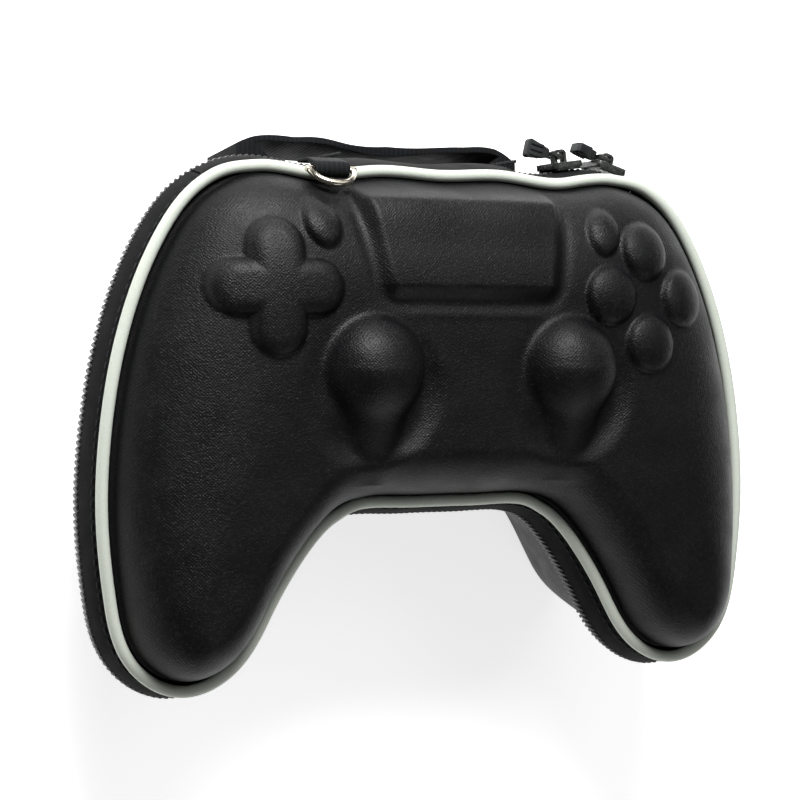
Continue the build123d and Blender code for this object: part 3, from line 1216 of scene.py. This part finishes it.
@dataclass
class Band:
    """A strip swept along the outline with a closed cross-section.

    Attributes:
        outline: The outline.
        name: Name of the piece.
        section: Rows of stand, height and bulge.
        begin: Where it starts along the outline.
        end: Where it ends, or where it starts for a closed band.
        pinch: Distance inward at its middle, next to the parting.
        hinge_draw: Distance inward where the back isn't drawn in.
    """

    outline: Outline
    name: str
    section: list[tuple[float, float, float]]
    begin: float = 0.0
    end: float = 0.0
    pinch: float = 0.0
    hinge_draw: float = 0.0

    def make(self, material: bpy.types.Material) -> bpy.types.Object:
        """Builds the strip, with a row of points at about every millimetre.

        Args:
            material: Its material.

        Returns:
            The new piece.
        """
        closed = self.end <= self.begin
        last = self.outline.length if closed else self.end
        count = max(8, int(last - self.begin))
        where = np.linspace(self.begin, last, count, endpoint=not closed)
        middle = np.clip(1 - (np.abs(where) / GUSSET_HALF) ** 2, 0, 1)
        drawn = self.hinge_draw * (1 - self.outline.side_share(where))[:, None]
        parts = MeshParts()
        rows = []
        for stand, z, bulge in self.section:
            flat = self.outline.tucked(where, stand, z, bulge)
            flat = flat - self.outline.outward(where) * drawn
            flat[:, 1] -= self.pinch * middle * max(0.0, 1 - abs(z - PARTING_Z) / 10)
            rows.append(parts.add(level(flat, z)))
        parts.join_rows(rows + rows[:1], count, closed)
        if not closed:
            for column in (0, count - 1):
                parts.faces.append(tuple(row + column for row in rows))
        return parts.build(self.name, material)


def strip_section(
    outer: Sequence[tuple[float, float, float]], thick: float
) -> list[tuple[float, float, float]]:
    """Closes an outer profile with an inner one.

    Args:
        outer: Rows of stand, height and bulge.
        thick: Thickness of the strip.

    Returns:
        The closed section.
    """
    return list(outer) + [(stand - thick, z, bulge) for stand, z, bulge in reversed(outer)]


def tape_profile(
    low: tuple[float, float, float], high: tuple[float, float, float], puffed: float
) -> list[tuple[float, float, float]]:
    """Profile of a tape between two seams, slightly puffed.

    Args:
        low: Stand, height and bulge at the lower seam.
        high: The same at the upper seam.
        puffed: Distance outward at its middle.

    Returns:
        Rows of stand, height and bulge.
    """
    rows = []
    for step in range(9):
        t = step / 8
        stand, z, bulge = (a + (b - a) * t for a, b in zip(low, high))
        rows.append((stand + puffed * math.sin(math.pi * t), z, bulge))
    return rows


class Repeater:
    """Sets one small shape along a line with Geometry Nodes."""

    def __init__(self) -> None:
        """Builds the node group, which every run shares."""
        self._tree = self._make_tree()

    def _make_tree(self) -> bpy.types.NodeTree:
        """Builds the node group with its named inputs.

        Returns:
            The node group.
        """
        tree = bpy.data.node_groups.new("repeat_along", "GeometryNodeTree")
        for name, kind in (
            ("Geometry", "Geometry"),
            ("Shape", "Object"),
            ("Pitch", "Float"),
            ("Turn", "Float"),
            ("Size Change", "Float"),
            ("Seed", "Int"),
            ("Material", "Material"),
        ):
            tree.interface.new_socket(name, in_out="INPUT", socket_type="NodeSocket" + kind)
        tree.interface.new_socket("Geometry", in_out="OUTPUT", socket_type="NodeSocketGeometry")
        given = add_node(tree, "NodeGroupInput").outputs
        line = add_node(tree, "GeometryNodeMeshToCurve", {"Mesh": given["Geometry"]})
        inputs = {"Curve": line.outputs["Curve"], "Length": given["Pitch"]}
        spots = add_node(tree, "GeometryNodeCurveToPoints", inputs, mode="LENGTH")
        shape = add_node(tree, "GeometryNodeObjectInfo", {"Object": given["Shape"]})
        inputs = {"Primary Axis": spots.outputs["Tangent"], "Secondary Axis": (0, 0, 1)}
        facing = add_node(
            tree, "FunctionNodeAxesToRotation", inputs, primary_axis="X", secondary_axis="Z"
        )
        turn = add_node(tree, "ShaderNodeCombineXYZ", {"Y": given["Turn"]})
        turned = add_node(tree, "FunctionNodeEulerToRotation", {"Euler": turn.outputs["Vector"]})
        inputs = {"Rotation": facing.outputs["Rotation"], "Rotate By": turned.outputs["Rotation"]}
        both = add_node(tree, "FunctionNodeRotateRotation", inputs, rotation_space="LOCAL")
        inputs = {0: 1.0, 1: given["Size Change"]}
        low = add_node(tree, "ShaderNodeMath", inputs, operation="SUBTRACT")
        high = add_node(tree, "ShaderNodeMath", inputs, operation="ADD")
        inputs = {2: low.outputs[0], 3: high.outputs[0], "Seed": given["Seed"]}
        size = add_node(tree, "FunctionNodeRandomValue", inputs, data_type="FLOAT")
        inputs = {
            "Points": spots.outputs["Points"],
            "Instance": shape.outputs["Geometry"],
            "Rotation": both.outputs["Rotation"],
            "Scale": size.outputs[1],
        }
        copies = add_node(tree, "GeometryNodeInstanceOnPoints", inputs)
        inputs = {"Geometry": copies.outputs["Instances"]}
        solid = add_node(tree, "GeometryNodeRealizeInstances", inputs)
        inputs = {"Geometry": solid.outputs["Geometry"], "Material": given["Material"]}
        painted = add_node(tree, "GeometryNodeSetMaterial", inputs)
        add_node(tree, "NodeGroupOutput", {"Geometry": painted.outputs["Geometry"]})
        return tree

    def run(
        self,
        name: str,
        line: np.ndarray,
        shape: bpy.types.Object,
        material: bpy.types.Material,
        pitch: float,
        turn: float = 0.0,
    ) -> bpy.types.Object:
        """Makes one plain mesh with the shape repeated along a line, each copy a little off in size.

        Args:
            name: Name of the piece.
            line: Rows of x, y, z in millimetres.
            shape: The shape, along X.
            material: Its material.
            pitch: Distance between copies in millimetres.
            turn: Lean of each copy in radians.

        Returns:
            The new piece.
        """
        mesh = bpy.data.meshes.new(name + "_line")
        mesh.from_pydata((line * MM).tolist(), [(i, i + 1) for i in range(len(line) - 1)], [])
        path = link_piece(name + "_line", mesh)
        modifier = path.modifiers.new("repeat", "NODES")
        modifier.node_group = self._tree
        values = {
            "Shape": shape,
            "Pitch": pitch * MM,
            "Turn": turn,
            "Size Change": 0.02,
            "Seed": 7,
            "Material": material,
        }
        for socket in self._tree.interface.items_tree:
            if socket.in_out == "INPUT" and socket.name in values:
                modifier[socket.identifier] = values[socket.name]
        bpy.context.view_layer.update()
        seen = path.evaluated_get(bpy.context.evaluated_depsgraph_get())
        made = bpy.data.meshes.new_from_object(seen)
        made.name = name
        piece = link_piece(name, made)
        bpy.data.objects.remove(path)
        return piece


def rounded_block(name: str, size: tuple[float, float, float], bevel: float) -> bpy.types.Object:
    """Makes a small block with rounded edges for the repeater.

    Args:
        name: Name of the shape.
        size: Length, depth and height in millimetres.
        bevel: Rounding in millimetres.

    Returns:
        The shape.
    """
    mesh = bpy.data.meshes.new(name)
    block = bmesh.new()
    bmesh.ops.create_cube(block, size=1.0, matrix=Matrix.Diagonal((*[s * MM for s in size], 1)))
    bmesh.ops.bevel(
        block, geom=list(block.edges), offset=bevel * MM, segments=2, affect="EDGES", profile=0.5
    )
    block.to_mesh(mesh)
    block.free()
    mesh.shade_smooth()
    return link_piece(name, mesh)


@dataclass
class Zipper(SubAssembly):
    """Tapes, gusset, teeth, stitches and tacks round the case.

    Attributes:
        thickness: Thickness of the tapes and the gusset.
        seam_stand: Stand of the rear tape's seam.
        lid_seam_stand: Stand of the front tape's seam under the piping.
        gusset_stand: Stand of the gusset's fold.
        recess: Distance by which the tapes run behind the teeth.
        swell: Distance by which a tape puffs out between its seams.
        teeth_stand: Stand of the middle of the teeth.
        tooth: Length along the chain, depth and height of one tooth.
        tooth_pitch: Distance between teeth.
        tooth_lean: Lean of a tooth in radians.
        stitch: Length, depth and height of one stitch.
        stitch_pitch: Distance between stitches.
        tack: Length, depth and height of one thread of a tack.
        tack_pitch: Distance between the tack's threads.
        tack_stand: Stand of the tacks on the gusset's ends.
        tack_z: Lowest and highest point of the tacks.
        repeater: What sets the teeth and the stitches.
        gusset: Where the gusset ends along the outline.
        hinge: Where the hinge stretch ends along the outline.
        gusset_round: Where the way round meets the gusset again.
        hinge_round: Where the way round meets the hinge stretch again.
    """

    thickness: float = 1.2
    seam_stand: float = 4.4
    lid_seam_stand: float = 2.5
    gusset_stand: float = 6.0
    recess: float = 1.0
    swell: float = 0.35
    teeth_stand: float = 4.15
    tooth: tuple[float, float, float] = (0.95, 1.7, 2.7)
    tooth_pitch: float = 1.55
    tooth_lean: float = 0.24
    stitch: tuple[float, float, float] = (1.7, 0.4, 0.42)
    stitch_pitch: float = 2.7
    tack: tuple[float, float, float] = (0.7, 0.6, 0.9)
    tack_pitch: float = 1.15
    tack_stand: float = 6.75
    tack_z: tuple[float, float] = (39.4, 51.6)
    repeater: Repeater = field(init=False)
    gusset: float = field(init=False)
    hinge: float = field(init=False)
    gusset_round: float = field(init=False)
    hinge_round: float = field(init=False)

    def __post_init__(self) -> None:
        """Finds where the gusset and the hinge stretch end, and where both end on the way round."""
        self.repeater = Repeater()
        self.gusset = self.outline.at_x(GUSSET_HALF)
        self.hinge = self.outline.at_x(HINGE_HALF)
        self.gusset_round = self.outline.length - self.gusset
        self.hinge_round = self.outline.length - self.hinge

    def make(self) -> list[bpy.types.Object]:
        """Builds every piece of the zipper.

        Returns:
            The pieces, each on its body but the gusset and the front tape's ends, which are on none.
        """
        pieces = self.make_tapes()
        pieces.append(self.make_gusset())
        return pieces + self.make_teeth() + self.make_stitches() + self.make_tacks()

    def line(
        self, stand: float, z: float, bulge: float, begin: float, end: float, inset: float
    ) -> np.ndarray:
        """Gives a line along the outline.

        Args:
            stand: Distance outward.
            z: Height.
            bulge: More distance outward on the grips.
            begin: Where its stretch starts.
            end: Where its stretch ends.
            inset: Distance that it keeps from both ends.

        Returns:
            Rows of x, y, z.
        """
        begin, end = begin + inset, end - inset
        where = np.linspace(begin, end, int((end - begin) / 0.5))
        return level(self.outline.tucked(where, stand, z, bulge), z)

    def make_tapes(self) -> list[bpy.types.Object]:
        """Builds the tapes, each with a flat part that runs behind the teeth.

        Returns:
            The rear tape, the front tape and the front tape's two ends.
        """
        gap, inset, behind = 0.15, 0.25, TAPE_STAND - self.recess
        low = (self.seam_stand, REAR_TAPE_Z, 0.0)
        high = (TAPE_STAND, REAR_TEETH_Z + 0.4, GRIP_BULGE)
        under = [(behind, z, GRIP_BULGE) for z in (REAR_TEETH_Z + 1.0, PARTING_Z - gap)]
        rear = strip_section(tape_profile(low, high, self.swell) + under, self.thickness)
        low = (TAPE_STAND, FRONT_TAPE_Z - 0.4, GRIP_BULGE)
        high = (self.lid_seam_stand, RIM_Z, 0.0)
        under = [(behind, z, GRIP_BULGE) for z in (PARTING_Z + gap, FRONT_TAPE_Z - 1.0)]
        front = strip_section(under + tape_profile(low, high, self.swell), self.thickness)
        strips = (
            ("rear_tape_strip", rear, self.gusset, self.gusset_round),
            ("front_tape_strip", front, self.hinge, self.hinge_round),
            ("front_tape_end_right", front, self.gusset, self.hinge),
            ("front_tape_end_left", front, -self.hinge, -self.gusset),
        )
        rear_strip, front_strip, *ends = (
            Band(self.outline, name, section, begin + inset, end - inset).make(self.shop.get(TAPE))
            for name, section, begin, end in strips
        )
        return [
            place_piece(rear_strip, Body.BASE, TAPE, "rear_tape"),
            place_piece(front_strip, Body.LID, TAPE, "front_tape"),
            *(bend_piece(end, "front_tape_ends") for end in ends),
        ]

    def make_gusset(self) -> bpy.types.Object:
        """Builds the pinched fabric gusset between the two halves.

        Returns:
            The gusset.
        """
        fold = (self.gusset_stand, PARTING_Z, 0.0)
        low = tape_profile((self.seam_stand, REAR_TAPE_Z, 0.0), fold, 0.25)
        high = tape_profile(fold, (self.lid_seam_stand, RIM_Z, 0.0), self.swell)
        section = strip_section(low + high[1:], self.thickness)
        band = Band(self.outline, "gusset_strip", section, -self.gusset, self.gusset, pinch=0.6)
        piece = band.make(self.shop.get(TAPE))
        return bend_piece(piece, "hinge_gusset")

    def make_teeth(self) -> list[bpy.types.Object]:
        """Sets the coil's teeth, which lean one way in the rear row and the other in the front.

        Returns:
            The rows of teeth.
        """
        shape = rounded_block("tooth_shape", self.tooth, 0.36)
        rear_z = (REAR_TEETH_Z + PARTING_Z) / 2 - 0.1
        front_z = (FRONT_TEETH_Z + FRONT_TAPE_Z) / 2
        lean, ends = self.tooth_lean, "front_teeth_ends"
        rows = (
            ("rear_coil", Body.BASE, rear_z, self.gusset, self.gusset_round, lean, "rear_teeth"),
            ("front_coil", Body.LID, front_z, self.hinge, self.hinge_round, -lean, "front_teeth"),
            ("front_coil_right", Body.BASE, front_z, self.gusset, self.hinge, -lean, ends),
            ("front_coil_left", Body.BASE, front_z, -self.hinge, -self.gusset, -lean, ends),
        )
        pieces = []
        for name, body, z, begin, end, turn, node in rows:
            line = self.line(self.teeth_stand, z, GRIP_BULGE, begin, end, 0.7)
            coil = self.shop.get(COIL)
            piece = self.repeater.run(name, line, shape, coil, self.tooth_pitch, turn)
            pieces.append(place_piece(piece, body, COIL, node))
        bpy.data.objects.remove(shape)
        return pieces

    def make_stitches(self) -> list[bpy.types.Object]:
        """Sets the rows of stitches that hold the tapes.

        Returns:
            The two rows.
        """
        shape = rounded_block("stitch_shape", self.stitch, 0.18)
        rows = (
            ("rear_stitches", Body.BASE, 4.62, 37.2, 0.3, self.gusset, self.gusset_round),
            ("front_stitches", Body.LID, 3.25, 53.9, 0.28, self.hinge, self.hinge_round),
        )
        pieces = []
        for name, body, stand, z, bulge, begin, end in rows:
            line = self.line(stand, z, bulge, begin, end, 1.0)
            piece = self.repeater.run(name, line, shape, self.shop.get(THREAD), self.stitch_pitch)
            pieces.append(place_piece(piece, body, THREAD))
        bpy.data.objects.remove(shape)
        return pieces

    def make_tacks(self) -> list[bpy.types.Object]:
        """Sets the bar tacks at the gusset's two ends.

        Returns:
            The left and the right tack.
        """
        shape = rounded_block("tack_shape", self.tack, 0.25)
        pieces = []
        for name, where in (("gusset_tack_left", -self.gusset), ("gusset_tack_right", self.gusset)):
            x, y = self.outline.points(np.array([where]), self.tack_stand)[0]
            line = np.array([(x, y, z) for z in np.linspace(*self.tack_z, 25)])
            piece = self.repeater.run(name, line, shape, self.shop.get(THREAD), self.tack_pitch)
            pieces.append(place_piece(piece, Body.BASE, THREAD, "gusset_tacks"))
        bpy.data.objects.remove(shape)
        return pieces


@dataclass
class Piping(SubAssembly):
    """The round piping along the lid's rim, drawn in a little at the hinge edge."""

    radius: float = 1.45
    stand: float = 2.3
    z: float = 57.9
    hinge_draw: float = 0.8
    sides: int = 18

    def make(self) -> list[bpy.types.Object]:
        """Builds the piping.

        Returns:
            The piece.
        """
        section = []
        for step in range(self.sides):
            angle = 2 * math.pi * step / self.sides
            out = self.stand + self.radius * math.cos(angle)
            section.append((out, self.z + self.radius * math.sin(angle), 0.0))
        band = Band(self.outline, "piping_cord", section, hinge_draw=self.hinge_draw)
        piece = band.make(self.shop.get(PIPING))
        return [place_piece(piece, Body.LID, PIPING, "front_piping")]


@dataclass
class Binding(SubAssembly):
    """The narrow binding over the back half's seam, flat inside and round outside."""

    inner_stand: float = 1.2
    outer_stand: float = 4.4
    radius: float = 0.8
    steps: int = 8

    def make(self) -> list[bpy.types.Object]:
        """Builds the binding.

        Returns:
            The piece.
        """
        section = [(self.inner_stand, REAR_RIM_Z, 0.0), (self.inner_stand, REAR_TAPE_Z, 0.0)]
        middle = (REAR_RIM_Z + REAR_TAPE_Z) / 2
        for step in range(self.steps + 1):
            angle = math.pi / 2 - math.pi * step / self.steps
            out = self.outer_stand + self.radius * math.cos(angle)
            section.append((out, middle + self.radius * math.sin(angle), 0.0))
        piece = Band(self.outline, "rear_binding", section).make(self.shop.get(TAPE))
        return [place_piece(piece, Body.BASE, TAPE, "rear_welt")]


@dataclass(frozen=True)
class Fitting:
    """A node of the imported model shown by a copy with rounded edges."""

    node: str
    body: Body
    finish: Finish
    bevel_mm: float


STRAP = Fitting("carry_strap", Body.BASE, WEBBING, 0.35)
FITTINGS = (
    STRAP,
    Fitting("d_ring_tab", Body.LID, WEBBING, 0.25),
    Fitting("d_ring", Body.RING, RING, 0.0),
    Fitting("slider_inner", Body.BASE, SLIDER, 0.3),
    Fitting("slider_outer", Body.BASE, SLIDER, 0.3),
    Fitting("link_inner", Body.INNER_PULL, SLIDER, 0.2),
    Fitting("link_outer", Body.OUTER_PULL, SLIDER, 0.2),
    Fitting("pull_inner", Body.INNER_PULL, GRIP, 0.2),
    Fitting("pull_outer", Body.OUTER_PULL, GRIP, 0.2),
)
# Lift of the strap's middle line along X, in millimetres
STRAP_LIFT = (
    (-50.0, 0.4),
    (-46.0, 1.8),
    (-38.0, 1.5),
    (-27.0, 0.1),
    (-14.0, 1.1),
    (-1.0, 2.1),
    (10.0, 1.2),
    (22.0, 0.2),
    (31.0, 0.7),
    (37.0, 0.2),
)


@dataclass
class Fittings:
    """Strap, tab, ring, sliders and pulls, each in its node's place.

    Attributes:
        frame: The loaded frame.
        shop: Where materials come from.
        foot_y: How far out the strap's feet go, which stay in place.
        foot_over: Distance over which the lift comes in above them.
        lean_y: How far out the strap's lower edge starts to lean in.
        lean_share: Share by which it leans in at its lowest.
        lean_z: Heights between which the lean fades out.
    """

    frame: dict
    shop: MaterialShop
    foot_y: float = 57.0
    foot_over: float = 2.2
    lean_y: float = 58.4
    lean_share: float = 0.75
    lean_z: tuple[float, float] = (10.0, 30.0)

    def make(self) -> list[bpy.types.Object]:
        """Builds every fitting.

        Returns:
            The pieces, each on its body.
        """
        return [self.make_fitting(item) for item in FITTINGS]

    def shape_strap(self, mesh: bpy.types.Mesh) -> None:
        """Evens the strap's wave and leans its lower edge in against the case.

        Args:
            mesh: The strap's mesh.
        """
        places, lifts = zip(*STRAP_LIFT)
        low, high = self.lean_z
        for vertex in mesh.vertices:
            place = vertex.co / MM
            free = min(max((place.y - self.foot_y) / self.foot_over, 0.0), 1.0)
            lifted = place.y + free * float(np.interp(place.x, places, lifts))
            share = min(max((high - place.z) / (high - low), 0.0), 1.0) * self.lean_share
            vertex.co.y = (lifted - share * max(lifted - self.lean_y, 0.0)) * MM

    def make_fitting(self, item: Fitting) -> bpy.types.Object:
        """Shows a node by a merged copy with rounded edges.

        Args:
            item: The fitting.

        Returns:
            The piece.
        """
        mesh = self.frame["nodes"][item.node].data.copy()
        if item is STRAP:
            self.shape_strap(mesh)
        shell = bmesh.new()
        shell.from_mesh(mesh)
        bmesh.ops.remove_doubles(shell, verts=shell.verts, dist=MERGE_DISTANCE)
        flat = math.radians(1.0)
        bmesh.ops.dissolve_limit(shell, angle_limit=flat, verts=shell.verts, edges=shell.edges)
        shell.to_mesh(mesh)
        shell.free()
        mesh.materials.clear()
        mesh.materials.append(self.shop.get(item.finish))
        piece = link_piece(item.node + "_made", mesh)
        if item.bevel_mm:
            bevel = piece.modifiers.new("edges", "BEVEL")
            bevel.width = item.bevel_mm * MM
            bevel.segments = 3
            bevel.limit_method = "ANGLE"
            bevel.angle_limit = math.radians(35)
            bevel.use_clamp_overlap = True
            seen = piece.evaluated_get(bpy.context.evaluated_depsgraph_get())
            made = bpy.data.meshes.new_from_object(seen)
            piece.modifiers.clear()
            piece.data = made
        piece.data.shade_smooth()
        piece.data.set_sharp_from_angle(angle=math.radians(38))
        return place_piece(piece, item.body, item.finish, item.node)


@dataclass(frozen=True)
class Lamp:
    """One soft square light, with its place and size in metres and its power in watts."""

    name: str
    place: tuple[float, float, float]
    size: float
    power: float


LAMPS = (
    Lamp("key", (-0.1, 0.48, 0.42), 0.3, 6.5),
    Lamp("fill", (0.5, 0.5, 0.9), 0.8, 2.2),
    Lamp("low", (0.35, -0.9, 0.4), 0.6, 1.8),
)


@dataclass(frozen=True)
class Stage:
    """Floor, lamps, world and camera, in metres and degrees."""

    floor_half: float = 3.0
    floor_glow: float = 0.7
    world_strength: float = 0.09
    lamp_target: tuple[float, float, float] = (0.0, 0.0, 0.05)
    camera_place: tuple[float, float, float] = (-0.2529, 0.0059, 0.5410)
    camera_target: tuple[float, float, float] = (-0.0112, -0.0030, 0.0575)
    camera_roll: float = -0.13
    lens_mm: float = 99.0

    def make(self) -> None:
        """Sets everything up."""
        self.make_floor()
        self.make_lamps()
        self.make_world()
        self.make_camera()
        bpy.context.scene.view_settings.view_transform = "Standard"

    def make_floor(self) -> None:
        """Adds the pale floor, whose even glow also lights the case a little from below."""
        half = self.floor_half
        corners = [(-half, -half, 0), (half, -half, 0), (half, half, 0), (-half, half, 0)]
        mesh = bpy.data.meshes.new("floor")
        mesh.from_pydata(corners, [], [(0, 1, 2, 3)])
        paint = bpy.data.materials.new("matt_paper")
        paint.use_nodes = True
        shader = paint.node_tree.nodes["Principled BSDF"]
        shader.inputs["Base Color"].default_value = linear("#fbfbfb")
        shader.inputs["Roughness"].default_value = 0.9
        shader.inputs["Emission Color"].default_value = linear("#ffffff")
        shader.inputs["Emission Strength"].default_value = self.floor_glow
        mesh.materials.append(paint)
        link_piece("floor", mesh)

    def make_lamps(self) -> None:
        """Adds the soft lamps, aimed at the case."""
        for lamp in LAMPS:
            data = bpy.data.lights.new(lamp.name, "AREA")
            data.size = lamp.size
            data.energy = lamp.power
            light = bpy.data.objects.new(lamp.name, data)
            light.location = lamp.place
            aim = Vector(self.lamp_target) - light.location
            light.rotation_mode = "QUATERNION"
            light.rotation_quaternion = aim.to_track_quat("-Z", "Y")
            bpy.context.scene.collection.objects.link(light)

    def make_world(self) -> None:
        """Adds the dim even light from all round."""
        world = bpy.data.worlds.new("studio")
        world.use_nodes = True
        background = world.node_tree.nodes["Background"]
        background.inputs["Color"].default_value = linear("#ffffff")
        background.inputs["Strength"].default_value = self.world_strength
        bpy.context.scene.world = world

    def make_camera(self) -> None:
        """Adds the camera, upright along Y and then rolled."""
        data = bpy.data.cameras.new("camera")
        data.lens = self.lens_mm
        data.sensor_width = 36.0
        camera = bpy.data.objects.new("camera", data)
        place = Vector(self.camera_place)
        back = (place - Vector(self.camera_target)).normalized()
        right = Vector((0, 1, 0)).cross(back).normalized()
        upright = Matrix((right, back.cross(right), back)).transposed()
        turned = upright @ Matrix.Rotation(math.radians(self.camera_roll), 3, "Z")
        camera.matrix_world = Matrix.Translation(place) @ turned.to_4x4()
        bpy.context.scene.collection.objects.link(camera)
        bpy.context.scene.camera = camera


def main() -> None:
    """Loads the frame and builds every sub-assembly in order."""
    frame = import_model()
    shop = MaterialShop()
    outline = Outline()
    assemblies = [kind(outline, shop) for kind in (Lid, BackHalf, Piping, Binding, Zipper)]
    for assembly in (*assemblies, Fittings(frame, shop)):
        for piece in assembly.make():
            log.info("%s %s has %d faces", type(assembly).__name__, piece.name, len(piece.data.polygons))
    Stage().make()


if __name__ == "__main__":
    main()
